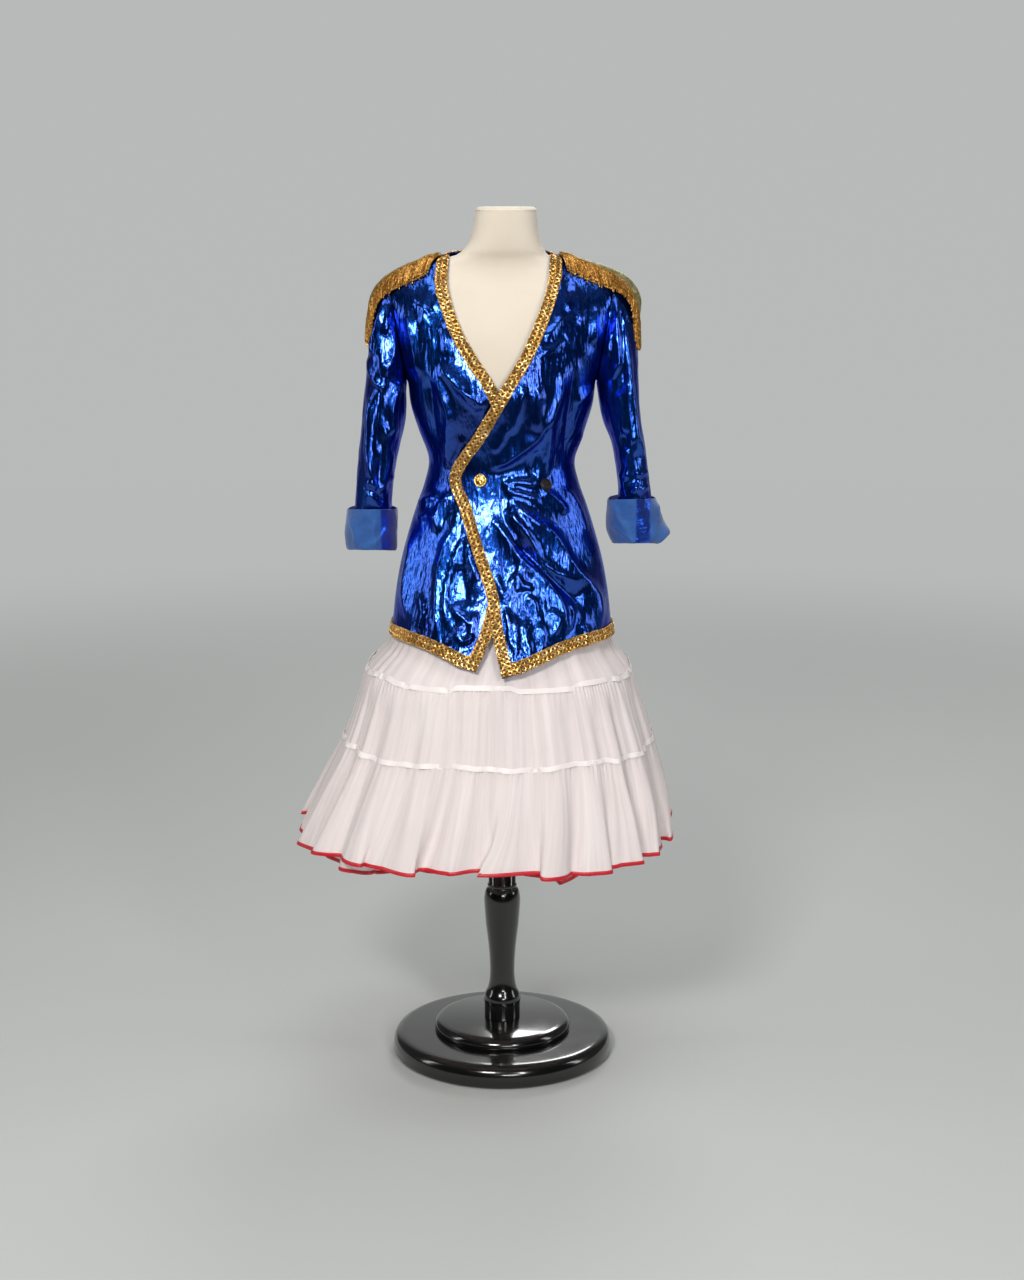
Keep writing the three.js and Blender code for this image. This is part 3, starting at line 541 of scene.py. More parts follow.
def net_tier(folds, low, high, rows, hem=None, under=None, roll=0.0, gathers=0.0, seed=0.0, drift=0.0):
    """A tier's outer points. `roll` is how far its tubes lean over at the hem, `gathers` the height of the
    small puckers where it is drawn into the seam above, and `drift` how far a strip strays up and down."""
    columns = folds * (20 if folds > 12 else 32)
    grid = np.zeros((rows + 1, columns, 3))
    for j in range(rows + 1):
        for i in range(columns):
            share = i / columns
            z = mix(low, high, j / rows)
            fall = (high - z) / (high - low)
            if hem:
                z += fall**3 * hem(share)
            z += drift * math.tanh(3 * math.sin(14 * math.pi * share + seed) + math.sin(38 * math.pi * share))
            section = smooth(PETTICOAT, z)
            turn = 2 * math.pi * share
            number = share * folds
            fold = math.floor(number)
            phase = 2 * math.pi * (number - fold)
            depth = 0.72 + 0.28 * math.sin(2.4 * fold + 0.6)
            hang = smooth(under, mix(low, high, j / rows)) if under else {"inset": 0, "gather": 1}
            tube = math.sin(phase) + 0.16 * math.sin(2 * phase + 1.9 * fold + seed)
            growth = hang["gather"] * section["wave"] * depth * tube - hang["inset"]
            small = math.sin(turn * folds * 2.7 + 3.1 * math.sin(5 * turn + seed))
            small *= 0.6 + 0.4 * math.sin(11 * turn)
            pucker = math.sin(turn * folds * 6.3 + 2.2 * math.sin(9 * turn + seed))
            near_seam = math.exp(-(((high - z) / 26) ** 2))
            growth += fall * 1.9 * small + gathers * near_seam * pucker
            lean = roll * fall * fall * math.sin(phase) * math.sin(5 * turn + seed)
            angle = turn + 0.05 * math.sin(3 * turn + 1) + 0.03 * math.sin(7 * turn + 2.3) - lean / 300
            wide = {**section, "half": section["half"] + growth}
            wide["front"] += growth
            wide["back"] += growth
            grid[j, i] = oval_point(wide, angle, z)
    return grid


net, tree, shader = principled("white_net", Roughness=0.8, Sheen_Weight=0.2)
place = node(tree, "ShaderNodeTexCoord")
along_threads = node(tree, "ShaderNodeMapping", [(place.outputs["UV"], "Vector")])
along_threads.inputs["Scale"].default_value = (1.0, 0.035, 1.0)
threads = along_threads.outputs["Vector"]
streak = node(tree, "ShaderNodeTexNoise", [(threads, "Vector")], Scale=75.0, Detail=4.0)
blush = blended(tree, mottle(tree, 11.0, 3.0), (0.94, 0.84, 0.825, 1), (0.97, 0.90, 0.885, 1))
tree.links.new(blush, shader.inputs["Base Color"])
cover = mapped(tree, streak.outputs["Fac"], 0.55, 0.84, 0.3, 0.7)
tree.links.new(cover, shader.inputs["Alpha"])
pleating = bump(tree, streak.outputs["Fac"], 0.3, 0.001)
tree.links.new(pleating, shader.inputs["Normal"])

WEAVE = texture_group("satin_weave", "ShaderNodeTexWave", "UV", "Fac", "Scale", "Distortion")

satin, tree, shader = principled(
    "white_satin", Base_Color=(0.93, 0.86, 0.85, 1), Roughness=0.5, Sheen_Weight=0.2
)
weave = texture(tree, WEAVE, Scale=900.0, Distortion=1.0)
tree.links.new(bump(tree, weave, 0.15, 0.0003), shader.inputs["Normal"])

red_satin, tree, shader = principled(
    "red_satin", Base_Color=(0.56, 0.008, 0.022, 1), Roughness=0.36, Coat_Weight=0.15
)
weave = texture(tree, WEAVE, Scale=700.0, Distortion=1.5)
tree.links.new(bump(tree, weave, 0.2, 0.0004), shader.inputs["Normal"])

upper_tier = net_tier(UPPER_FOLDS, UPPER_SEAM_Z + 0.8, 984.6, 40, gathers=0.8, seed=0.4)
middle_tier = net_tier(LOWER_FOLDS, LOWER_SEAM_Z + 0.4, UPPER_SEAM_Z, 26, gathers=1.2, seed=1.3)
flounce = net_tier(LOWER_FOLDS, HEM_Z, LOWER_SEAM_Z, 40, hem_ripple, roll=24, gathers=1.4, seed=2.6)
under_flounce = net_tier(LOWER_FOLDS, 407, 567, 34, under_hem, UNDER_HANG, roll=14, seed=4.1)
for name, grid in (
    ("petticoat_tier_upper", upper_tier),
    ("petticoat_tier_middle", middle_tier),
    ("petticoat_flounce", flounce),
    ("petticoat_under_flounce", under_flounce),
):
    mesh = wall_mesh(name, grid, grid - NET_THICK * turn_normals(grid, True), True)
    link_piece(f"{name}_net", mesh, net, "white_net", name)


# Satin ribbons cover the two gathered seams, and a folded satin strip binds each hem. All are stitched flat,
# and the ribbons dip behind the net's folds here and there.
RIBBON_WIDTH, RIBBON_THICK = 8, 0.6
BINDING_WIDTH = 6.5


def ribbon_standoff(grid, seed):
    """How far a ribbon stands off the net's outer side, round the skirt."""
    turn = 2 * np.pi * np.arange(grid.shape[1]) / grid.shape[1]
    dip = np.clip(4 * np.sin(16 * turn + 2 * np.sin(3 * turn + seed)) - 2.9, 0, 1)
    return (1.6 - 2.8 * dip)[:, None]


for name, folds, seam_z, seed, drift, wander in (
    ("ribbon_upper", UPPER_FOLDS, UPPER_SEAM_Z, 0.7, 2.6, 0.5),
    ("ribbon_lower", LOWER_FOLDS, LOWER_SEAM_Z, 2.2, 2.2, 2.1),
):
    grid = net_tier(folds, seam_z - RIBBON_WIDTH / 2, seam_z + RIBBON_WIDTH / 2, 4, seed=seed, drift=drift)
    standoff = ribbon_standoff(grid, wander)
    normals = turn_normals(grid, True)
    mesh = wall_mesh(name, grid + (standoff + RIBBON_THICK) * normals, grid + standoff * normals, True)
    link_piece(f"{name}_satin", mesh, satin, "white_satin", name)


def hem_strip(grid, width, rows=5):
    """The lowest stretch of a tier, resampled finely so that a narrow strip can lie on it."""
    first, up = grid[0], grid[1] - grid[0]
    up = up / np.linalg.norm(up, axis=1, keepdims=True)
    return np.array([first + up * width * share for share in np.linspace(0, 1, rows)])


for name, grid in (("binding_flounce", flounce), ("binding_under_flounce", under_flounce)):
    strip = hem_strip(grid, BINDING_WIDTH)
    normals = turn_normals(strip, True)
    swell = np.array([0.5, 1.1, 1.2, 1.1, 0.6])[:, None, None]
    mesh = wall_mesh(name, strip + (swell + 0.2) * normals, strip - (NET_THICK + swell) * normals, True)
    link_piece(f"{name}_satin", mesh, red_satin, "red_satin", name)

WAIST_SEAT_Z, WAISTBAND_WIDTH, WAISTBAND_THICK = 985, 18, 1.6
waist_row = next(i for i, row in enumerate(FORM_SECTIONS) if row["z"] == WAIST_SEAT_Z)
waist_below, waist_above = FORM_SECTIONS[waist_row], FORM_SECTIONS[waist_row + 1]
waist_rows = []
for height in np.linspace(0, WAISTBAND_WIDTH, 9):
    share = height / (waist_above["z"] - waist_below["z"])
    section = {key: mix(waist_below[key], waist_above[key], share) + 2.4 for key in ("half", "front", "back")}
    section["shift"] = 0
    waist_rows.append(oval_ring(section, WAIST_SEAT_Z + height, 160))
waist_grid = np.array(waist_rows)
waist_inner = waist_grid - WAISTBAND_THICK * turn_normals(waist_grid, True)
waist_mesh = wall_mesh("petticoat_waistband", waist_grid, waist_inner, True)
waistband = link_piece("petticoat_waistband_satin", waist_mesh, satin, "white_satin", "petticoat_waistband")

# The jacket's body. Two fronts and a back cut from lame, a woven cloth with a metallic film, joined at the
# sides and shoulders. It is bloused over the waist, so that long folds run from the waist towards the hem.
ARMPIT_Z, SHOULDER_TIP_Z, HEM_BLEND_Z, TOP_Z = 1165, 1334, 866, 1371
ARMPIT_X, SHOULDER_TIP_X, ARMHOLE_HALF_DEPTH = 154, 182, 52
JACKET_SECTIONS = table(
    "z half front back shift",
    (690, 198, 212, 196, 0),
    (764, 184, 178, 168, 0),
    (815, 178, 158, 150, 0),
    (866, 169, 141, 133, 0),
    (915, 156, 126, 119, 0),
    (960, 142, 114, 107, 0),
    (1000, 128, 103, 97, 0),
    (1040, 121, 99, 88, 0),
    (1090, 138, 112, 91, 0),
    (1130, 150, 124, 96, 0),
    (1165, 154, 128, 100, 0),
    (1215, 162, 117, 101, 0),
    (1250, 168, 106, 98, 0),
    (1285, 174, 88, 88, 0),
    (1318, 179, 68, 73, 0),
    (1334, 182, 54, 60, 0),
    (1352, 144, 44, 56, -1),
    (1364, 113, 42, 60, -2),
    (1371, 87, 44, 62, -3),
)
LEFT_EDGE = table(
    "z x",
    (711, 1), (784, -16), (839, -25), (892, -43), (965, -66), (1023, -83),
    (1100, -39), (1163, -3), (1223, 33), (1287, 61), (1334, 76), (1371, 78),
)
RIGHT_EDGE = table(
    "z x",
    (719, 41), (773, 16), (839, -2), (892, -18), (965, -34), (1023, -38),
    (1100, -18), (1172, 10), (1206, 33), (1260, 65), (1325, 87), (1371, 85),
)
SIDE_HEM_Z, BACK_HEM_Z, LEFT_TIP_Z, RIGHT_TIP_Z = 746, 742, 711, 719
BRAID_WIDTH, BRAID_ROWS = 19, 6
LAP, LAP_END_X, LAP_FADE = 6.4, 100, 40
SEAM = 0.4
LAME_THICK = 1.1


def armhole_x(z):
    return mix(ARMPIT_X, SHOULDER_TIP_X, (z - ARMPIT_Z) / (SHOULDER_TIP_Z - ARMPIT_Z))


def jacket_section(z, face, side=1):
    section = smooth(JACKET_SECTIONS, z)
    section["shift"] *= side
    if ARMPIT_Z < z < SHOULDER_TIP_Z:
        height = (z - (ARMPIT_Z + SHOULDER_TIP_Z) / 2) / ((SHOULDER_TIP_Z - ARMPIT_Z) / 2)
        half_depth = ARMHOLE_HALF_DEPTH * math.sqrt(max(0, 1 - height * height))
        share = clamp(half_depth / (section["front"] if face < 0 else section["back"]), 0, 0.95)
        section["half"] = armhole_x(z) / (1 - share**SQUARENESS) ** (1 / SQUARENESS)
    return section


def angle_at_x(section, x, face):
    share = clamp((x - section["shift"]) / section["half"], -1, 1)
    return face * math.acos(math.copysign(abs(share) ** (SQUARENESS / 2), share))


def side_angle(z, face, side=1):
    section = jacket_section(z, face, side)
    if ARMPIT_Z < z < SHOULDER_TIP_Z:
        return angle_at_x(section, armhole_x(z), face)
    depth = section["front"] if face < 0 else section["back"]
    return face * math.asin((SEAM / 2 / depth) ** (SQUARENESS / 2))


def crease_height(creases, x, z):
    """The height at arrays of x and z of creases that follow bent lines: (height, width to the right of the
    line, width to its left, points from the top down). Each has a soft foot, a crisp crest and faded ends."""
    total = np.zeros_like(x)
    for height, right, left, points in creases:
        lengths = [math.dist(p, q) for p, q in zip(points, points[1:])]
        nearest = np.full(x.shape, 1e9)
        signed = np.zeros_like(x)
        travelled = np.zeros_like(x)
        before = 0.0
        for (x0, z0), (x1, z1), long in zip(points, points[1:], lengths):
            dx, dz = (x1 - x0) / long, (z1 - z0) / long
            along = np.clip((x - x0) * dx + (z - z0) * dz, 0, long)
            away = np.hypot(x - x0 - dx * along, z - z0 - dz * along)
            aside = (x - x0) * dz - (z - z0) * dx
            closer = away < nearest
            nearest = np.where(closer, away, nearest)
            signed = np.where(closer, np.where(aside < 0, -away, away), signed)
            travelled = np.where(closer, before + along, travelled)
            before += long
        share = travelled / before
        fade = np.clip(share / 0.22, 0, 1) * np.clip((1 - share) / 0.22, 0, 1)
        reach = np.abs(signed) / np.where(signed < 0, right, left)
        crest = 0.7 * np.exp(-(reach**2)) + 0.7 * np.exp(-1.7 * (np.sqrt(reach**2 + 0.02) - 0.14))
        total += height * fade * fade * (3 - 2 * fade) * crest
    return total


def rumple(points, scale, seed):
    """Uneven slack between -1 and 1 at each point, over a distance of `scale` millimetres."""
    flat = points.reshape(-1, 3) / scale + seed
    return np.array([noise.noise(Vector(p)) for p in flat]).reshape(points.shape[:-1])


FRONT_CREASES = [
    (8.5, 11, 18, [
        (4, 1000), (20, 984), (34, 967), (56, 948), (73, 938), (89, 920),
        (103, 893), (120, 866), (140, 846), (154, 822), (158, 786), (158, 740),
    ]),
    (6.0, 8, 12, [
        (2, 982), (16, 976), (20, 956), (35, 940), (52, 916), (62, 890), (88, 868), (120, 850), (130, 836),
    ]),
    (-7.0, 11, 11, [(8, 930), (42, 900), (72, 872), (100, 846), (122, 826), (131, 792)]),
    (6.5, 9, 14, [
        (-27, 962), (-6, 947), (12, 922), (30, 898), (57, 872),
        (78, 850), (92, 830), (100, 806), (102, 780), (100, 745),
    ]),
    (4.5, 6, 9, [(2, 1002), (28, 996), (56, 986), (66, 976)]),
    (3.5, 7, 7, [(-4, 1008), (30, 1014), (60, 1008)]),
    (4.0, 8, 8, [(62, 1002), (80, 990), (94, 976), (108, 956)]),
    (3.5, 7, 9, [(92, 1004), (114, 984), (130, 955), (142, 915)]),
    (2.6, 5, 6, [(-6, 872), (-3, 850), (4, 836), (14, 848), (17, 872)]),
    (2.6, 5, 5, [(6, 822), (12, 790), (18, 750)]),
    (3.2, 6, 6, [(21, 806), (26, 770), (21, 736)]),
    (2.8, 6, 6, [(36, 800), (40, 768), (50, 744)]),
    (3.2, 7, 8, [(76, 814), (92, 796), (84, 768)]),
    (2.6, 5, 6, [(106, 824), (116, 806), (112, 776)]),
    (2.8, 6, 6, [(22, 872), (34, 852), (54, 846)]),
    (2.4, 5, 6, [(38, 838), (54, 824), (58, 798)]),
    (2.6, 5, 6, [(60, 794), (70, 776), (65, 748)]),
    (2.6, 6, 6, [(34, 884), (22, 862), (26, 838)]),
    (3.0, 6, 7, [(128, 790), (138, 770), (136, 745)]),
    (6.5, 9, 22, [(90, 1134), (70, 1108), (58, 1088), (36, 1068), (6, 1046), (-28, 1032)]),
    (5.0, 8, 10, [(104, 1210), (98, 1188), (95, 1160), (88, 1138), (80, 1116), (74, 1060), (72, 1010)]),
    (3.5, 7, 9, [(62, 1172), (60, 1130), (54, 1096)]),
    (3.2, 7, 9, [(38, 1176), (28, 1130), (14, 1090)]),
    (2.8, 6, 8, [(12, 1110), (0, 1080), (-14, 1060)]),
    (2.8, 7, 8, [(98, 1278), (84, 1258), (68, 1244)]),
    (2.8, 7, 8, [(102, 1242), (84, 1228), (62, 1222)]),
    (4.5, 6, 8, [(166, 1290), (166, 1255), (163, 1225), (158, 1195)]),
    (3.6, 6, 8, [(154, 1296), (150, 1262), (154, 1230)]),
    (3.0, 8, 9, [(152, 1168), (136, 1150), (120, 1136)]),
    (3.0, 8, 8, [(112, 1332), (124, 1300), (130, 1260)]),
    (3.0, 9, 10, [(86, 1352), (96, 1318), (114, 1284)]),
    (4.0, 8, 8, [(136, 1090), (124, 1064), (126, 1026)]),
    (-4.0, 8, 8, [(118, 1200), (114, 1150), (106, 1090), (104, 1040)]),
    (-3.0, 7, 7, [(58, 1068), (52, 1040), (50, 1016)]),
    (6.0, 17, 9, [(-103, 1208), (-88, 1188), (-66, 1166), (-40, 1150), (-20, 1126)]),
    (5.0, 8, 8, [(-106, 1200), (-98, 1170), (-91, 1145), (-84, 1122), (-86, 1080), (-92, 1026)]),
    (3.4, 7, 8, [(-64, 1174), (-52, 1148), (-32, 1130)]),
    (-4.0, 9, 9, [(-118, 1184), (-114, 1130), (-106, 1076)]),
    (2.8, 3, 5, [(-144, 1301), (-128, 1291), (-112, 1283)]),
    (4.0, 8, 8, [(-152, 1294), (-146, 1255), (-138, 1215), (-132, 1176)]),
    (3.0, 9, 9, [(-110, 1332), (-122, 1300), (-126, 1260)]),
    (3.0, 9, 9, [(-92, 1346), (-98, 1312), (-112, 1282)]),
    (3.0, 8, 8, [(-96, 1270), (-88, 1245), (-90, 1215)]),
    (2.8, 7, 7, [(-60, 1090), (-70, 1060), (-84, 1034)]),
    (5.0, 7, 8, [(-82, 996), (-96, 975), (-104, 955), (-109, 926)]),
    (4.5, 8, 8, [(-144, 964), (-118, 980), (-96, 985)]),
    (4.0, 8, 8, [(-142, 943), (-120, 954), (-98, 950)]),
    (6.0, 12, 9, [(-70, 958), (-86, 920), (-99, 880), (-104, 840), (-105, 800), (-101, 750)]),
    (4.0, 7, 8, [(-60, 934), (-74, 890), (-88, 850), (-90, 810), (-83, 770)]),
    (3.5, 8, 8, [(-56, 928), (-52, 890), (-38, 856)]),
    (-4.0, 18, 18, [(-68, 886), (-62, 850), (-55, 815)]),
    (3.2, 5, 6, [(-84, 814), (-62, 802), (-46, 786)]),
    (3.2, 5, 6, [(-58, 794), (-70, 780), (-90, 756)]),
    (2.8, 5, 5, [(-74, 774), (-60, 762), (-42, 773)]),
    (2.6, 5, 6, [(-42, 814), (-46, 785), (-54, 756)]),
    (2.8, 6, 6, [(-118, 804), (-111, 778), (-115, 750)]),
    (2.8, 6, 6, [(-132, 836), (-128, 800), (-135, 766)]),
    (4.5, 9, 9, [(-146, 936), (-150, 890), (-158, 840), (-160, 780)]),
]
BACK_CREASES = [
    (-4.5, 16, 16, [(-62, 1150), (-54, 1060), (-50, 985)]),
    (-4.5, 16, 16, [(58, 1150), (54, 1060), (52, 985)]),
    (4.0, 9, 7, [(-96, 1214), (-88, 1150), (-72, 1096)]),
    (3.6, 7, 9, [(98, 1204), (90, 1140), (76, 1086)]),
    (2.2, 12, 12, [(-52, 990), (-10, 1012), (44, 1000)]),
    (2.0, 12, 13, [(-108, 992), (-74, 1012), (-34, 1030)]),
    (2.0, 12, 13, [(110, 996), (78, 1014), (36, 1034)]),
    (8.0, 20, 16, [(-66, 975), (-82, 900), (-92, 830), (-98, 745)]),
    (8.0, 16, 20, [(60, 970), (76, 890), (86, 820), (90, 745)]),
    (7.0, 18, 14, [(2, 970), (-4, 890), (-8, 820), (-6, 745)]),
    (-5.0, 12, 12, [(-36, 940), (-46, 860), (-50, 765)]),
    (-5.0, 12, 12, [(32, 940), (40, 860), (42, 765)]),
    (4.0, 9, 8, [(112, 965), (128, 880), (134, 790)]),
    (4.0, 8, 9, [(-110, 968), (-130, 890), (-134, 790)]),
    (3.0, 6, 6, [(-22, 850), (-16, 810), (-24, 770)]),
    (3.0, 6, 6, [(18, 860), (26, 815), (18, 770)]),
    (4.0, 24, 24, [(-66, 1290), (-62, 1240), (-56, 1190)]),
    (4.0, 24, 24, [(62, 1290), (60, 1240), (58, 1186)]),
    (3.2, 8, 9, [(-118, 1300), (-126, 1250), (-122, 1200)]),
    (3.2, 9, 8, [(116, 1300), (124, 1250), (118, 1204)]),
    (1.8, 18, 18, [(-50, 1262), (0, 1240), (52, 1264)]),
]


SKIRT_ROWS, BODY_ROWS = 32, 140
FRONT_COLUMNS, BRAID_COLUMNS, BACK_COLUMNS = 120, 8, 176


def column_heights(hem_z):
    """A column's heights: over the braid, then to where the hem's slope has died out, then to the neck."""
    braid = [hem_z + BRAID_WIDTH * k / BRAID_ROWS for k in range(BRAID_ROWS)]
    skirt = [mix(hem_z + BRAID_WIDTH, HEM_BLEND_Z, k / SKIRT_ROWS) for k in range(SKIRT_ROWS)]
    body = [mix(HEM_BLEND_Z, TOP_Z, k / BODY_ROWS) for k in range(BODY_ROWS + 1)]
    return braid + skirt + body


def front_grid(side, edge, tip_z, lap):
    """A front's outer points from its side seam to its edge, with the last columns under the braid."""
    last = FRONT_COLUMNS + BRAID_COLUMNS
    columns = []
    for i in range(last + 1):
        share = min(i / FRONT_COLUMNS, 1)
        beyond = max(i - FRONT_COLUMNS, 0) / BRAID_COLUMNS
        hem_z = SIDE_HEM_Z + 6 * math.sin(math.pi * share) - (SIDE_HEM_Z - tip_z) * share**4
        hem_z += 5 * share**32 * (1 - beyond)
        column = []
        for z in column_heights(hem_z):
            section = jacket_section(z, -1, side)
            edge_x = smooth(edge, z)["x"]
            slope = abs(smooth(edge, z + 10)["x"] - smooth(edge, z - 10)["x"]) / 20
            braid_x = edge_x + BRAID_WIDTH * math.hypot(1, min(slope, 0.7))
            stop = angle_at_x(section, min(braid_x, section["half"] + section["shift"] - 4), -1)
            angle = mix(side_angle(z, -1, side), stop, share)
            if beyond:
                angle = mix(stop, angle_at_x(section, edge_x, -1), beyond)
            x, y, z = oval_point(section, angle, z)
            column.append((side * x, y, z))
        columns.append(column)
    grid = np.array(columns).transpose(1, 0, 2)
    x, z = grid[..., 0], grid[..., 2]
    ease = np.clip(4 * np.arange(last + 1) / FRONT_COLUMNS, 0, 1)
    normals = turn_normals(grid, False)
    low = 1 + 0.6 * np.clip((960 - z) / 80, 0, 1)
    slack = low * (1.2 * rumple(grid * (1, 0, 0.6), 26, 3.0) + 0.5 * rumple(grid * (1, 0, 0.5), 11, 8.0))
    grid = grid + normals * (ease * (crease_height(FRONT_CREASES, x, z) + slack))[..., None]
    grid[..., 1] -= ease * lap * np.clip((LAP_END_X - x) / LAP_FADE, 0, 1)
    return grid


def back_grid():
    columns = []
    for i in range(BACK_COLUMNS + 1):
        share = i / BACK_COLUMNS
        middle = math.sin(math.pi * share)
        column = []
        heights = column_heights(mix(SIDE_HEM_Z, BACK_HEM_Z, middle))
        for j, z in enumerate(heights):
            start = side_angle(z, 1)
            x, y, z = oval_point(jacket_section(z, 1), mix(start, math.pi - start, share), z)
            rise = 6 * middle * clamp((j - len(heights) + 6) / 5)
            column.append((x, y, z + rise))
        columns.append(column)
    grid = np.array(columns).transpose(1, 0, 2)
    x, z = grid[..., 0], grid[..., 2]
    ease = np.clip(3.5 * np.sin(np.pi * np.arange(BACK_COLUMNS + 1) / BACK_COLUMNS) - 0.6, 0, 1)
    slack = 1.3 * rumple(grid * (1, 1, 0.6), 26, 5.0) + 0.5 * rumple(grid * (1, 1, 0.5), 11, 9.0)
    height = ease * (crease_height(BACK_CREASES, x, z) + slack)
    return grid + turn_normals(grid, False) * height[..., None]


def in_seam_plane(normals, grid, columns):
    """Keeps the wall's edge in the seam's plane along the side seams."""
    for column in columns:
        flat = np.abs(grid[:, column, 1]) < 1
        normals[flat, column, 1] = 0
    return normals / np.linalg.norm(normals, axis=2, keepdims=True)


# The film is crushed in streaks that run down the cloth.
HANG = (1.0, 1.0, 0.22)
lame, tree, shader = principled(
    "blue_lame",
    Metallic=0.95,
    Specular_Tint=(0.16, 0.3, 0.9, 1),
    Coat_Weight=0.2,
    Coat_Roughness=0.12,
    Coat_IOR=2.2,
)
patch, grain = mottle(tree, 14.0, 4.0, HANG), mottle(tree, 560.0, 3.0, HANG)
blue = ramp(tree, patch, (0.3, (0.003, 0.038, 0.3, 1)), (0.72, (0.006, 0.095, 0.57, 1)))
tree.links.new(blue, shader.inputs["Base Color"])
tree.links.new(mapped(tree, grain, 0.14, 0.27, 0.3, 0.7), shader.inputs["Roughness"])
crush = bump(tree, mottle(tree, 50.0, 4.0, HANG, 0.6), 0.3, 0.0028)
fibre = bump(tree, mottle(tree, 170.0, 1.5, HANG), 0.8, 0.0015, crush)
film = bump(tree, grain, 0.4, 0.0006, fibre)
tree.links.new(film, shader.inputs["Normal"])
tree.links.new(film, shader.inputs["Coat Normal"])

left_front = front_grid(1, LEFT_EDGE, LEFT_TIP_Z, LAP)
right_front = front_grid(-1, RIGHT_EDGE, RIGHT_TIP_Z, 0.0)
back_panel = back_grid()
panels, cloth = {}, {}
for name, grid, seams in (
    ("jacket_front_left", left_front, [0]),
    ("jacket_front_right", right_front, [0]),
    ("jacket_back", back_panel, [0, BACK_COLUMNS]),
):
    normals = in_seam_plane(turn_normals(grid, False), grid, seams)
    panels[name] = (grid, normals)
    mesh = wall_mesh(name, grid, grid - LAME_THICK * normals)
    cloth[name] = link_piece(f"{name}_lame", mesh, lame, "blue_lame", name)

# The braid. A cotton tape in gold thread, worked with two rows of cupped sequins and with small beads between
# them and along both edges. It is sewn round the fronts, the hem and the back of the neck.
def bead_gold(name, roughness, dark, middle, light):
    """Gilt whose tone differs from bead to bead."""
    material, tree, shader = principled(name, Metallic=0.8, Roughness=roughness)
    tint = node(tree, "ShaderNodeAttribute", attribute_name="tint")
    shade = ramp(tree, tint.outputs["Fac"], (0.0, dark), (0.5, middle), (1.0, light))
    tree.links.new(shade, shader.inputs["Base Color"])
    return material


gold = bead_gold("gold_sequins", 0.3, (0.55, 0.28, 0.055, 1), (0.78, 0.44, 0.11, 1), (0.97, 0.66, 0.27, 1))
# The tape's colour is a dark brown, far darker than gold thread: painted shade for the gaps between and under
# the sequins.
tape_brown_as_shade, tree, shader = principled(
    "tape_painted_shade", Base_Color=(0.11, 0.055, 0.012, 1), Metallic=0.2, Roughness=0.65
)
tree.links.new(bump(tree, texture(tree, THREADS, Scale=650.0), 0.7, 0.001), shader.inputs["Normal"])


def scatter_group():
    """Sets a bead on every point, facing out and lying along the row, each tilted and tinted a little."""
    group = bpy.data.node_groups.new("beads_on_points", "GeometryNodeTree")
    for label, kind in (
        ("Geometry", "Geometry"), ("Bead", "Object"), ("Tilt", "Float"), ("Seed", "Int"),
        ("Finish", "Material"),
    ):
        group.interface.new_socket(label, in_out="INPUT", socket_type=f"NodeSocket{kind}")
    group.interface.new_socket("Geometry", in_out="OUTPUT", socket_type="NodeSocketGeometry")
    entry = group.nodes.new("NodeGroupInput")
    end = group.nodes.new("NodeGroupOutput")
    facing = node(group, "GeometryNodeInputNamedAttribute", data_type="FLOAT_VECTOR", Name="facing")
    along = node(group, "GeometryNodeInputNamedAttribute", data_type="FLOAT_VECTOR", Name="along")
    size = node(group, "GeometryNodeInputNamedAttribute", data_type="FLOAT", Name="size")
    frame_turn = node(
        group,
        "FunctionNodeAxesToRotation",
        [(facing.outputs["Attribute"], "Primary Axis"), (along.outputs["Attribute"], "Secondary Axis")],
        primary_axis="Z",
        secondary_axis="X",
    )
    negative = node(group, "ShaderNodeMath", [(entry.outputs["Tilt"], 0)], operation="MULTIPLY")
    negative.inputs[1].default_value = -1
    wobble = node(
        group,
        "FunctionNodeRandomValue",
        [
            (negative.outputs["Value"], "Min"),
            (entry.outputs["Tilt"], "Max"),
            (entry.outputs["Seed"], "Seed"),
        ],
        data_type="FLOAT_VECTOR",
    )
    as_turn = node(group, "FunctionNodeEulerToRotation", [(wobble.outputs["Value"], "Euler")])
    turned = node(
        group,
        "FunctionNodeRotateRotation",
        [(frame_turn.outputs["Rotation"], "Rotation"), (as_turn.outputs["Rotation"], "Rotate By")],
        rotation_space="LOCAL",
    )
    source = node(group, "GeometryNodeObjectInfo", [(entry.outputs["Bead"], "Object")])
    placed = node(
        group,
        "GeometryNodeInstanceOnPoints",
        [
            (entry.outputs["Geometry"], "Points"),
            (source.outputs["Geometry"], "Instance"),
            (turned.outputs["Rotation"], "Rotation"),
            (size.outputs["Attribute"], "Scale"),
        ],
    )
    tone = node(group, "FunctionNodeRandomValue", [(entry.outputs["Seed"], "Seed")], data_type="FLOAT")
    stored = node(
        group,
        "GeometryNodeStoreNamedAttribute",
        [(placed.outputs["Instances"], "Geometry")],
        data_type="FLOAT",
        domain="INSTANCE",
        Name="tint",
    )
    real = next(s for s in tone.outputs if s.enabled and s.type == "VALUE")
    group.links.new(real, next(s for s in stored.inputs if s.name == "Value" and s.enabled))
    realized = node(group, "GeometryNodeRealizeInstances", [(stored.outputs["Geometry"], "Geometry")])
    finished = node(
        group,
        "GeometryNodeSetMaterial",
        [(realized.outputs["Geometry"], "Geometry"), (entry.outputs["Finish"], "Material")],
    )
    group.links.new(finished.outputs["Geometry"], end.inputs["Geometry"])
    return group


SCATTER = scatter_group()


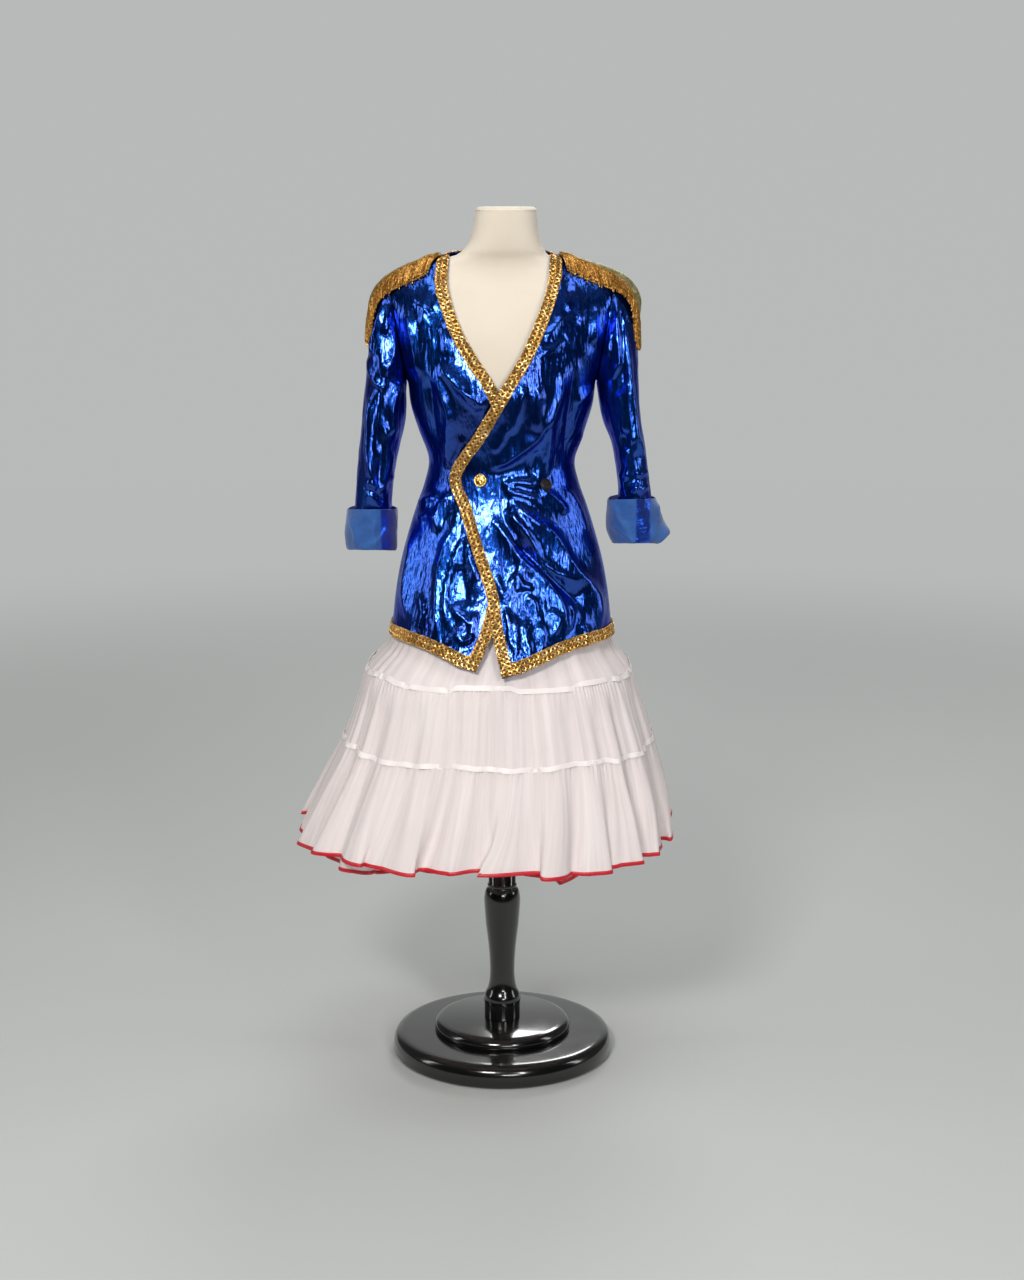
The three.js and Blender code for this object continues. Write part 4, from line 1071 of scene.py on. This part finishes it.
def beaded(name, points, bead, tilt, seed, material, slot_name, *replaced):
    """Beads on points, each given as (position, facing, along, size), in millimetres."""
    mesh = bpy.data.meshes.new(name)
    mesh.from_pydata([tuple(p[0] * MM) for p in points], [], [])
    for column, label, kind in ((1, "facing", "FLOAT_VECTOR"), (2, "along", "FLOAT_VECTOR")):
        data = mesh.attributes.new(label, kind, "POINT")
        data.data.foreach_set("vector", np.array([p[column] for p in points], dtype=np.float32).ravel())
    data = mesh.attributes.new("size", "FLOAT", "POINT")
    data.data.foreach_set("value", np.array([p[3] for p in points], dtype=np.float32))
    piece = bpy.data.objects.new(name, mesh)
    bpy.context.scene.collection.objects.link(piece)
    source = bpy.data.objects.new(f"{name}_source", bead)
    bpy.context.scene.collection.objects.link(source)
    modifier = piece.modifiers.new("beads", "NODES")
    modifier.node_group = SCATTER
    inputs = {s.name: s.identifier for s in SCATTER.interface.items_tree if s.in_out == "INPUT"}
    modifier[inputs["Bead"]] = source
    modifier[inputs["Tilt"]] = tilt
    modifier[inputs["Seed"]] = seed
    modifier[inputs["Finish"]] = material
    depsgraph = bpy.context.evaluated_depsgraph_get()
    made = bpy.data.meshes.new_from_object(piece.evaluated_get(depsgraph))
    piece.modifiers.remove(modifier)
    piece.data = made
    made.name = name
    bpy.data.meshes.remove(mesh)
    bpy.data.objects.remove(source)
    made.shade_smooth()
    made.set_sharp_from_angle(angle=math.radians(32))
    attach(piece, "root")
    if replaced:
        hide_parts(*replaced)
    return piece


def on_grid(grid, row, column):
    j, i = min(int(row), grid.shape[0] - 2), min(int(column), grid.shape[1] - 2)
    u, v = column - i, row - j
    low = grid[j, i] * (1 - u) + grid[j, i + 1] * u
    high = grid[j + 1, i] * (1 - u) + grid[j + 1, i + 1] * u
    return low * (1 - v) + high * v


def along_grid(panel, path, spacing, lift, rng, scatter):
    """Evenly spaced bead places along a line of (row, column) pairs on a panel."""
    grid, normals = panel
    line = np.array([on_grid(grid, row, column) for row, column in path])
    outs = np.array([on_grid(normals, row, column) for row, column in path])
    travelled = np.concatenate([[0], np.cumsum(np.linalg.norm(np.diff(line, axis=0), axis=1))])
    count = max(int(travelled[-1] / spacing), 1)
    places = []
    for k in range(count):
        at = (k + 0.5) * travelled[-1] / count
        point = np.array([np.interp(at, travelled, line[:, axis]) for axis in range(3)])
        ahead = np.array([np.interp(at + 2, travelled, line[:, axis]) for axis in range(3)])
        behind = np.array([np.interp(at - 2, travelled, line[:, axis]) for axis in range(3)])
        out = np.array([np.interp(at, travelled, outs[:, axis]) for axis in range(3)])
        out /= np.linalg.norm(out)
        along = (ahead - behind) / np.linalg.norm(ahead - behind)
        across = np.cross(out, along)
        point = point + out * lift + along * rng.uniform(-scatter, scatter)
        point += across * rng.uniform(-scatter, scatter)
        places.append((point, out, along, rng.uniform(0.9, 1.1)))
    return places


SEQUIN_PITCH, BEAD_PITCH = 7.9, 2.9
cup_profile = [
    (0, -0.9), (1.6, -0.9), (2.6, 0.1), (4.15, 1.1), (4.1, 1.6), (3.1, 1.4), (2.3, 1.0), (1.9, -0.5),
    (0, -0.5),
]
sequin = turned_mesh("sequin", cup_profile, 12)
seed_bead = turned_mesh("seed_bead", [(0, 0), (1.1, 0.35), (1.35, 1.0), (1.0, 1.8), (0, 2.0)], 7)


def braid(name, panel, lines, edges, keep, seed):
    """A stretch of braid: its tape over the kept cells of a panel, and sequins and beads along lines."""
    grid, normals = panel
    rng = np.random.default_rng(seed)
    tape = wall_mesh(f"{name}_tape", grid + 1.4 * normals, grid + SEAM * normals, False, keep)
    strip = link_piece(f"{name}_tape", tape, tape_brown_as_shade, "gold_sequins", name)
    discs = [place for line in lines for place in along_grid(panel, line, SEQUIN_PITCH, 1.2, rng, 0.25)]
    cups = beaded(f"{name}_sequins", discs, sequin, 0.17, seed, gold, "gold_sequins")
    small = [place for line in edges for place in along_grid(panel, line, BEAD_PITCH, 1.0, rng, 0.3)]
    edging = beaded(f"{name}_beads", small, seed_bead, 0.5, seed + 1, gold, "gold_sequins")
    return [strip, cups, edging]


def lines_across(rows, columns, shares, vertical):
    """Lines along a braid's run at shares of its width. Rows and columns give its corners on the panel."""
    lines = []
    for share in shares:
        if vertical:
            column = mix(columns[0], columns[1], share)
            lines.append([(row, column) for row in np.linspace(rows[0], rows[1], 120)])
        else:
            row = mix(rows[0], rows[1], share)
            lines.append([(row, column) for column in np.linspace(columns[0], columns[1], 120)])
    return lines


DISC_SHARES = (0.28, 0.72)
BEAD_SHARES = (0.04, 0.5, 0.96)
top_row = left_front.shape[0] - 1
for side, seed, width, length, area in (("left", 11, 0.36, 0.68, 0.155), ("right", 21, 0.33, 0.67, 0.136)):
    keep = np.zeros((top_row, FRONT_COLUMNS + BRAID_COLUMNS), bool)
    keep[:, FRONT_COLUMNS:] = True
    keep[:BRAID_ROWS, :] = True
    edge_run = ((0.3, top_row), (FRONT_COLUMNS, FRONT_COLUMNS + BRAID_COLUMNS), True)
    hem_run = ((0, BRAID_ROWS), (0.5, FRONT_COLUMNS + 0.5), False)
    discs, beads = [], []
    for rows, columns, vertical in (edge_run, hem_run):
        discs += lines_across(rows, columns, DISC_SHARES, vertical)
        beads += lines_across(rows, columns, BEAD_SHARES, vertical)
    trim = braid(f"braid_front_{side}", panels[f"jacket_front_{side}"], discs, beads, keep, seed)

hem_rows, hem_columns = (0, BRAID_ROWS), (0.5, BACK_COLUMNS - 0.5)
keep = np.zeros((top_row, BACK_COLUMNS), bool)
keep[:BRAID_ROWS, :] = True
discs = lines_across(hem_rows, hem_columns, DISC_SHARES, False)
beads = lines_across(hem_rows, hem_columns, BEAD_SHARES, False)
trim = braid("braid_back_hem", panels["jacket_back"], discs, beads, keep, 31)
neck_rows, neck_columns = (top_row - 2.6, top_row), (3, BACK_COLUMNS - 3)
keep = np.zeros((top_row, BACK_COLUMNS), bool)
keep[-3:, :] = True
discs = lines_across(neck_rows, neck_columns, (0.4,), False)
beads = lines_across(neck_rows, neck_columns, (0.95,), False)
trim += braid("braid_back_neck", panels["jacket_back"], discs, beads, keep, 41)

# The sleeves. Each is one piece of lame set into the armhole, three-quarter length, hanging flat and empty.
# Its end is turned back over itself as a cuff that shows the duller wrong side and a strip of the right one.
LEFT_SLEEVE = table(
    "s outX outZ inX inZ depth y crease",
    (0, 183.8, 1334, 155.8, 1165, 52, 0, 0),
    (1, 198, 1322, 158, 1150, 57, 0, 0),
    (2, 213, 1296, 160, 1135, 62, -1, 1),
    (3, 221, 1255, 164, 1115, 64, -3, 3),
    (4, 224, 1200, 172, 1090, 64, -5, 4),
    (5, 227, 1132, 183, 1060, 60, -8, 4),
    (6, 235, 1067, 191, 1015, 57, -12, 4),
    (7, 243, 1015, 193, 970, 54, -15, 3),
    (8, 250, 960, 189, 932, 50, -17, 1),
    (9, 254, 900, 192, 900, 46, -18, 0),
)
RIGHT_SLEEVE = table(
    "s outX outZ inX inZ depth y crease",
    (0, 183.8, 1334, 155.8, 1165, 52, 0, 0),
    (1, 196, 1320, 157, 1150, 58, 0, 0),
    (2, 208, 1292, 157, 1135, 64, -1, 1),
    (3, 215, 1250, 158, 1115, 68, -3, 3),
    (4, 220, 1200, 161, 1090, 70, -5, 4),
    (5, 227, 1140, 168, 1060, 66, -8, 4),
    (6, 232, 1085, 178, 1015, 60, -12, 4),
    (7, 238, 1030, 182, 970, 55, -15, 3),
    (8, 243, 968, 182, 925, 48, -17, 1),
    (9, 249, 889, 183, 889, 42, -18, 0),
)
LEFT_CUFF = table(
    "s outX outZ inX inZ depth y crease",
    (0, 254, 974, 176, 972, 58, -16, 0),
    (1, 268, 938, 174, 926, 54, -17, 0),
    (1.55, 277, 918, 178, 911, 51, -18, 0),
    (2, 266, 902, 184, 900, 49, -18, 0),
    (2.3, 256.4, 898.7, 189.6, 898.7, 48.3, -18, 0),
)
RIGHT_CUFF = table(
    "s outX outZ inX inZ depth y crease",
    (0, 255, 956, 174.5, 956, 55, -17, 0),
    (1, 260, 922, 174, 922, 50, -18, 0),
    (2, 257, 890, 176, 888, 46, -18, 0),
    (2.3, 251.4, 887.2, 180.6, 887.2, 44.3, -18, 0),
)
# The end of each empty sleeve tips up a little in front.
CUFF_RISE = 8
# Where the strip of the right side lies across each cuff's front, in own-side x.
LEFT_STRIP, RIGHT_STRIP = (219, 245), (0, 199)
# Creases of each sleeve's front in own-side x and height, and of both sleeves' backs.
LEFT_SLEEVE_CREASES = [
    (6.0, 6, 8, [(182, 1312), (187, 1270), (190, 1230), (192, 1202), (185, 1185), (176, 1170)]),
    (6.5, 7, 8, [
        (196, 1300), (200, 1250), (203, 1200), (206, 1165), (210, 1138),
        (213, 1108), (217, 1080), (228, 1058), (237, 1024),
    ]),
    (4.0, 6, 7, [(172, 1280), (176, 1240), (174, 1206)]),
    (-5.0, 8, 8, [(193, 1290), (196, 1240), (197, 1190), (200, 1150)]),
    (3.6, 7, 7, [(190, 1160), (196, 1120), (202, 1080)]),
    (3.6, 7, 7, [(204, 1070), (208, 1040), (204, 1006)]),
    (3.6, 6, 6, [(240, 1024), (226, 1021), (214, 1024)]),
    (3.4, 6, 6, [(242, 1002), (228, 996), (212, 1002)]),
    (3.2, 6, 6, [(196, 1030), (200, 1000), (196, 968)]),
    (-3.5, 8, 8, [(222, 1060), (216, 1030), (218, 1000)]),
]
RIGHT_SLEEVE_CREASES = [
    (6.0, 6, 8, [(184, 1316), (192, 1285), (200, 1260), (207, 1232), (211, 1200)]),
    (4.5, 6, 7, [(176, 1306), (184, 1270), (190, 1244)]),
    (5.0, 7, 7, [(172, 1280), (175, 1245), (177, 1212), (185, 1195), (189, 1176)]),
    (5.5, 7, 8, [(166, 1262), (163, 1226), (156, 1202), (150, 1178)]),
    (6.0, 7, 8, [(162, 1190), (171, 1158), (178, 1130), (178, 1100), (176, 1070)]),
    (3.4, 7, 8, [(216, 1214), (214, 1190), (204, 1170), (186, 1156)]),
    (6.0, 7, 8, [(210, 1160), (214, 1100), (216, 1060), (213, 1024), (208, 990)]),
    (5.0, 6, 7, [(194, 1116), (190, 1090), (188, 1068), (190, 1040), (195, 1012), (192, 980)]),
    (-4.5, 9, 9, [(200, 1200), (196, 1150), (202, 1100), (203, 1050)]),
    (3.6, 6, 6, [(222, 1012), (206, 1001), (192, 994)]),
    (3.4, 6, 6, [(218, 994), (206, 976), (196, 962)]),
    (3.4, 6, 6, [(180, 1060), (184, 1030), (182, 1000)]),
]
LEFT_CUFF_CREASES = [
    (3.2, 3, 8, [(182, 976), (194, 948), (212, 920), (228, 900)]),
    (2.8, 3, 7, [(176, 946), (196, 928), (214, 912), (230, 902)]),
    (-3.0, 7, 4, [(206, 974), (212, 946), (222, 916), (226, 898)]),
    (2.6, 3, 6, [(258, 976), (256, 946), (250, 918), (246, 898)]),
    (3.2, 3, 6, [(284, 926), (266, 914), (250, 900)]),
]
RIGHT_CUFF_CREASES = [
    (2.6, 4, 7, [(252, 948), (240, 922), (242, 896)]),
    (2.4, 3, 6, [(206, 952), (212, 926), (206, 896)]),
    (-2.0, 6, 6, [(226, 950), (224, 924), (228, 898)]),
    (2.2, 3, 5, [(186, 940), (200, 916), (220, 902)]),
]
SLEEVE_BACK_CREASES = [
    (5.0, 8, 8, [(192, 1290), (200, 1210), (204, 1130), (212, 1050)]),
    (4.0, 8, 8, [(176, 1270), (178, 1200), (188, 1130)]),
    (2.6, 10, 10, [(228, 1090), (206, 1066), (182, 1072)]),
    (2.6, 10, 10, [(232, 1056), (208, 1036), (186, 1048)]),
    (3.6, 7, 7, [(216, 1010), (210, 980), (216, 945)]),
]


SLEEVE_ROWS, SLEEVE_COLUMNS = 150, 128
CUFF_ROWS, CUFF_COLUMNS = 30, 112


def sleeve_grid(rows, side, high, wide, folds=0.0):
    first, last = rows[0]["s"], rows[-1]["s"]
    grid = np.zeros((high + 1, wide, 3))
    for j in range(high + 1):
        row = smooth(rows, mix(first, last, j / high))
        middle_x, middle_z = (row["outX"] + row["inX"]) / 2, (row["outZ"] + row["inZ"]) / 2
        for i in range(wide):
            angle = 2 * math.pi * i / wide
            fold = row["crease"] / row["depth"] * math.sin(6 * angle) * abs(math.sin(angle)) * folds
            x = middle_x + (row["outX"] - middle_x) * math.cos(angle)
            z = middle_z + (row["outZ"] - middle_z) * math.cos(angle)
            grid[j, i] = (side * x, row["y"] - row["depth"] * math.sin(angle) * (1 + fold), z)
    return grid


lining, tree, shader = principled("blue_lining", Sheen_Weight=0.3)
strip = node(tree, "ShaderNodeAttribute", attribute_name="right_side").outputs["Fac"]
tone = mottle(tree, 30.0, 5.0)
# The wrong side's blue follows the same noise as its relief and is darker in the dents: painted shade in the
# hollows.
dull = ramp(tree, tone, (0.3, (0.01, 0.07, 0.27, 1)), (0.75, (0.022, 0.125, 0.42, 1)))
tree.links.new(blended(tree, strip, dull, (0.012, 0.075, 0.55, 1)), shader.inputs["Base Color"])
tree.links.new(mapped(tree, strip, 0.72, 0.28), shader.inputs["Roughness"])
tree.links.new(mapped(tree, strip, 0.0, 0.85), shader.inputs["Metallic"])
glitter = bump(tree, mottle(tree, 170.0, 3.0), 0.5, 0.002, bump(tree, tone, 0.4, 0.003))
tree.links.new(glitter, shader.inputs["Normal"])

for name, side, sleeve_rows, cuff_rows, phase, sleeve_cut, sleeve_area, cuff_cut in (
    ("left", 1, LEFT_SLEEVE, LEFT_CUFF, 0.0, (0.29, 0.45), 0.108, (0.35, 0.079)),
    ("right", -1, RIGHT_SLEEVE, RIGHT_CUFF, 17.0, (0.3, 0.46), 0.114, (0.31, 0.07)),
):
    grid = sleeve_grid(sleeve_rows, side, SLEEVE_ROWS, SLEEVE_COLUMNS, 0.6)
    facing = np.sin(2 * np.pi * np.arange(SLEEVE_COLUMNS) / SLEEVE_COLUMNS)
    from_head = np.arange(SLEEVE_ROWS + 1)
    from_end = SLEEVE_ROWS - from_head
    tip = np.clip((35 - from_end) / 35, 0, 1)[:, None]
    grid[..., 2] += CUFF_RISE * tip * np.clip(facing, 0, 1)
    normals = turn_normals(grid, True)
    own_x, height_z = side * grid[..., 0], grid[..., 2]
    creases = LEFT_SLEEVE_CREASES if side > 0 else RIGHT_SLEEVE_CREASES
    height = np.clip(3 * facing, 0, 1) * crease_height(creases, own_x, height_z)
    height += np.clip(-3 * facing, 0, 1) * crease_height(SLEEVE_BACK_CREASES, own_x, height_z)
    hung = grid * (1, 1, 0.5)
    height += 1.2 * rumple(hung, 22, 4.0 + phase) + 0.5 * rumple(hung, 9, 6.0 + phase)
    ease = np.clip(from_head / 16, 0, 1) * np.clip(from_end / 22, 0, 1)
    grid = grid + normals * (height * ease[:, None])[..., None]
    normals = turn_normals(grid, True)
    mesh = wall_mesh(f"sleeve_{name}", grid, grid - LAME_THICK * normals, True)
    sleeve = link_piece(f"sleeve_{name}_lame", mesh, lame, "blue_lame", f"sleeve_{name}")

    grid = sleeve_grid(cuff_rows, side, CUFF_ROWS, CUFF_COLUMNS)
    facing = np.sin(2 * np.pi * np.arange(CUFF_COLUMNS) / CUFF_COLUMNS)
    grid[..., 2] += CUFF_RISE * np.clip(facing, 0, 1)
    normals = turn_normals(grid, True)
    folds = LEFT_CUFF_CREASES if side > 0 else RIGHT_CUFF_CREASES
    drape = 1.6 * rumple(grid, 30, 12.0 + phase) + 0.5 * rumple(grid, 11, 15.0 + phase)
    drape += np.clip(3 * facing, 0, 1) * crease_height(folds, side * grid[..., 0], grid[..., 2])
    ease = np.clip((CUFF_ROWS - np.arange(CUFF_ROWS + 1)) / 5, 0, 1)
    grid = grid + normals * (np.maximum(drape + 1.0, 0) * ease[:, None])[..., None]
    normals = turn_normals(grid, True)
    mesh = wall_mesh(f"cuff_{name}", grid, grid - LAME_THICK * normals, True)
    shown = mesh.attributes.new("right_side", "FLOAT", "POINT")
    reach = np.array([v.co for v in mesh.vertices])
    across = side * reach[:, 0] / MM
    near_x, far_x = LEFT_STRIP if side > 0 else RIGHT_STRIP
    mask = np.clip((across - near_x) / 2, 0, 1) * np.clip((far_x - across) / 2, 0, 1)
    mask *= reach[:, 1] < -0.018
    shown.data.foreach_set("value", mask.astype(np.float32))
    cuff = link_piece(f"cuff_{name}_lining", mesh, lining, "blue_lining", f"cuff_{name}")

# Buttons. A gilt one and a near-black one, die-struck with a plain rope rim and a rosette, each sewn by its
# shank through the outer front and the one below it.
def left_front_point(x, z):
    section = jacket_section(z, -1)
    px, py, pz = oval_point(section, angle_at_x(section, x, -1), z)
    bulge = crease_height(FRONT_CREASES, np.array([float(x)]), np.array([float(z)]))[0]
    return np.array([px, py - bulge - LAP * clamp((LAP_END_X - x) / LAP_FADE), pz])


def button_mesh(name, seat, out, across):
    """A struck disc: rim, sunk field and a rosette of eight petals."""
    up = np.cross(out, across)
    rings = []
    profile = [
        (0.6, 0), (9.0, 0), (10.3, 0.7), (10.5, 1.7), (10.3, 2.7), (9.7, 3.2), (8.9, 3.2), (8.3, 2.7),
        (7.6, 2.75),
    ]
    profile += [(r, 3.1 + 0.9 * (1 - (r / 8) ** 2)) for r in np.linspace(7.0, 0.5, 12)]
    for radius, height in profile:
        ring_points = []
        for i in range(72):
            angle = 2 * math.pi * i / 72
            if height > 2 and 8.5 < radius < 10.0:
                relief = 0.16 * math.sin(20 * angle)
            elif height > 3.0 and radius < 7.1:
                relief = 0.7 * max(0, math.cos(4 * angle)) ** 0.6 * math.exp(-(((radius - 4.2) / 2.2) ** 2))
            else:
                relief = 0
            around = across * math.cos(angle) + up * math.sin(angle)
            ring_points.append(seat + around * radius + out * (height + relief))
        rings.append(ring_points)
    return lofted_mesh(name, rings)


dark_metal, tree, shader = principled(
    "dark_button", Base_Color=(0.035, 0.03, 0.03, 1), Metallic=0.85, Roughness=0.38
)
tree.links.new(bump(tree, mottle(tree, 260.0, 4.0), 0.3, 0.0006), shader.inputs["Normal"])
gilt, tree, shader = principled("gold_button", Base_Color=(0.78, 0.48, 0.13, 1), Metallic=1.0, Roughness=0.26)
tree.links.new(bump(tree, mottle(tree, 260.0, 4.0), 0.25, 0.0005), shader.inputs["Normal"])

for name, x, z, standoff, material, slot_name in (
    ("button_gold", -34, 1016, 1.8, gilt, "gold_button"),
    ("button_dark", 70, 1007, 3.0, dark_metal, "dark_button"),
):
    across = left_front_point(x + 9, z) - left_front_point(x - 9, z)
    out = np.cross(across, left_front_point(x, z + 9) - left_front_point(x, z - 9))
    out /= np.linalg.norm(out)
    across -= out * np.dot(across, out)
    across /= np.linalg.norm(across)
    mesh = button_mesh(name, left_front_point(x, z) + out * standoff, out, across)
    link_piece(f"{name}_struck", mesh, material, slot_name, name)

# The epaulettes. A shaped pad covered in olive lame lies over each shoulder seam and sleeve head. Strings of
# gold bugle beads are sewn into its edge all round, so close that they hide it in front.
PAD_FRONT, PAD_BACK, PAD_THICK = -12, 32, 2.6
FRONT_DROP_DEPTH, BACK_DROP_DEPTH = 52, 61
PAD_ROWS, PAD_COLUMNS = 90, 25
BUGLE_PITCH, STRING_PITCH = 3.25, 3.0
# Each layer of strings: its height over the pad's edge, its length and how far it is set along the edge.
FRINGE_LAYERS = ((1.3, 41, 0), (2.3, 39, 1.5), (3.7, 36, 0.2))
LEFT_RIDGE = table(
    "s x z drop",
    (0, 92, 1372, 30), (22, 107, 1370, 38), (58, 143, 1358, 42), (100, 181, 1340.5, 38),
    (130, 204.5, 1321, 26), (157, 217.5, 1298, 20), (183, 222.4, 1272, 18), (211, 224, 1245, 18),
    (240, 225, 1216, 18),
)
RIGHT_RIDGE = table(
    "s x z drop",
    (0, 96, 1371, 30), (27, 122, 1366, 38), (66, 158, 1352, 42), (106, 191, 1331, 34),
    (134, 209, 1307, 24), (163, 216, 1277, 18), (191, 219, 1249, 18), (215, 220, 1224, 18),
)


def over_shoulder(ridge, s, y, lift, side):
    """A point over the shoulder: s along its ridge, y behind it, and lift above the cloth."""
    inside = min(s, ridge[-1]["s"] - 4)
    at, ahead, behind = smooth(ridge, inside), smooth(ridge, inside + 4), smooth(ridge, inside - 4)
    dx, dz = ahead["x"] - behind["x"], ahead["z"] - behind["z"]
    long = math.hypot(dx, dz)
    at["x"] += (s - inside) * dx / long
    at["z"] += (s - inside) * dz / long
    depth = FRONT_DROP_DEPTH if y < 0 else BACK_DROP_DEPTH
    nape = 1 if y < 0 else mix(0.1, 1, clamp(s / 60))
    over_braid = 2.6 * clamp((40 - s) / 14)
    out = lift + over_braid - nape * at["drop"] * abs(y / depth) ** 2.1
    return np.array([side * (at["x"] - dz / long * out), y, at["z"] + dx / long * out])


olive, tree, shader = principled("olive_lame", Metallic=0.35, Roughness=0.6, Specular_IOR_Level=0.25)
crush = mottle(tree, 70.0, 5.0, distortion=0.8)
# The olive follows the same noise as the pad's relief and is darker in its dents: painted shade in the
# hollows of the crush.
olive_with_painted_shade = ramp(tree, crush, (0.35, (0.16, 0.14, 0.06, 1)), (0.7, (0.42, 0.38, 0.19, 1)))
tree.links.new(olive_with_painted_shade, shader.inputs["Base Color"])
tree.links.new(bump(tree, crush, 0.6, 0.004), shader.inputs["Normal"])

# The bugles' gilt is darker than the sequins': partly their own more orange gold, and partly painted shade,
# as they face up into the light.
fringe_gold = bead_gold(
    "gold_bugles", 0.34, (0.34, 0.16, 0.03, 1), (0.56, 0.29, 0.06, 1), (0.82, 0.5, 0.15, 1)
)
bugle = turned_mesh("bugle", [(0, -1.55), (1.1, -1.35), (1.1, 1.35), (0, 1.55)], 6)

for name, side, ridge, pad_end, puff, tail, seed in (
    ("left", 1, LEFT_RIDGE, 190, 10.0, 11, 51),
    ("right", -1, RIGHT_RIDGE, 172, 2.5, 3, 61),
):
    rng = np.random.default_rng(seed)
    along_pad = np.linspace(4, pad_end - 3, PAD_ROWS)
    across_pad = np.linspace(PAD_FRONT, PAD_BACK, PAD_COLUMNS)
    outer, inner = (
        np.array([[over_shoulder(ridge, s, y, lift, side) for y in across_pad] for s in along_pad])
        for lift in (PAD_THICK, 0.5)
    )
    up = outer - inner
    up /= np.linalg.norm(up, axis=2, keepdims=True)
    crown = np.sin(np.pi * np.linspace(0, 1, PAD_ROWS) ** 2.2)[:, None]
    crown = crown * np.sin(np.pi * np.linspace(0, 1, PAD_COLUMNS))[None, :]
    loose = 1.2 * np.abs(rumple(outer, 14, seed)) + 0.5 * np.abs(rumple(outer, 6, seed))
    outer = outer + up * (puff * crown + loose)[..., None]
    mesh = wall_mesh(f"epaulette_pad_{name}", outer, inner)
    pad = link_piece(f"epaulette_pad_{name}_lame", mesh, olive, "olive_lame", f"epaulette_pad_{name}")

    front_edge = np.arange(6, pad_end - 1, STRING_PITCH)
    outer_edge = np.arange(PAD_FRONT + 1, PAD_BACK, STRING_PITCH)
    back_edge = np.arange(pad_end - 1, 6, -STRING_PITCH)
    roots = [(s, PAD_FRONT, 0.75 + 0.45 * clamp((s - 120) / 60), -0.95) for s in front_edge]
    roots += [(pad_end, y, 1.0, (y - 10) / 38) for y in outer_edge]
    roots += [(s, PAD_BACK, 0.55 + clamp((s - pad_end + 70) / 70), 0.9) for s in back_edge]
    beads = []
    for lift, length, shift in FRINGE_LAYERS:
        for s, y, ds, dy in roots:
            ds, dy = ds / math.hypot(ds, dy), dy / math.hypot(ds, dy)
            reach = length * (1 + 0.03 * math.sin(s * 0.5 + y) + rng.uniform(-0.04, 0.04))
            reach += tail * clamp((s - pad_end + 45) / 45)
            swing = rng.uniform(-0.03, 0.03)
            offset = rng.uniform(-0.25, 0.25) + shift
            for k in range(int(reach / BUGLE_PITCH)):
                far = 0.5 + k * BUGLE_PITCH
                here = [
                    over_shoulder(ridge, s + offset + (ds + swing) * t, y + dy * t, lift, side)
                    for t in (far - 1, far, far + 1)
                ]
                along = here[2] - here[0]
                along /= np.linalg.norm(along)
                out = here[1] - over_shoulder(ridge, s + offset + ds * far, y + dy * far, 0, side)
                out -= along * np.dot(out, along)
                out /= np.linalg.norm(out)
                beads.append((here[1] + rng.uniform(-0.2, 0.2, 3), along, out, rng.uniform(0.92, 1.08)))
    fringe = beaded(
        f"epaulette_fringe_{name}_beads", beads, bugle, 0.08, seed, fringe_gold, "gold_sequins",
        f"epaulette_fringe_{name}",
    )
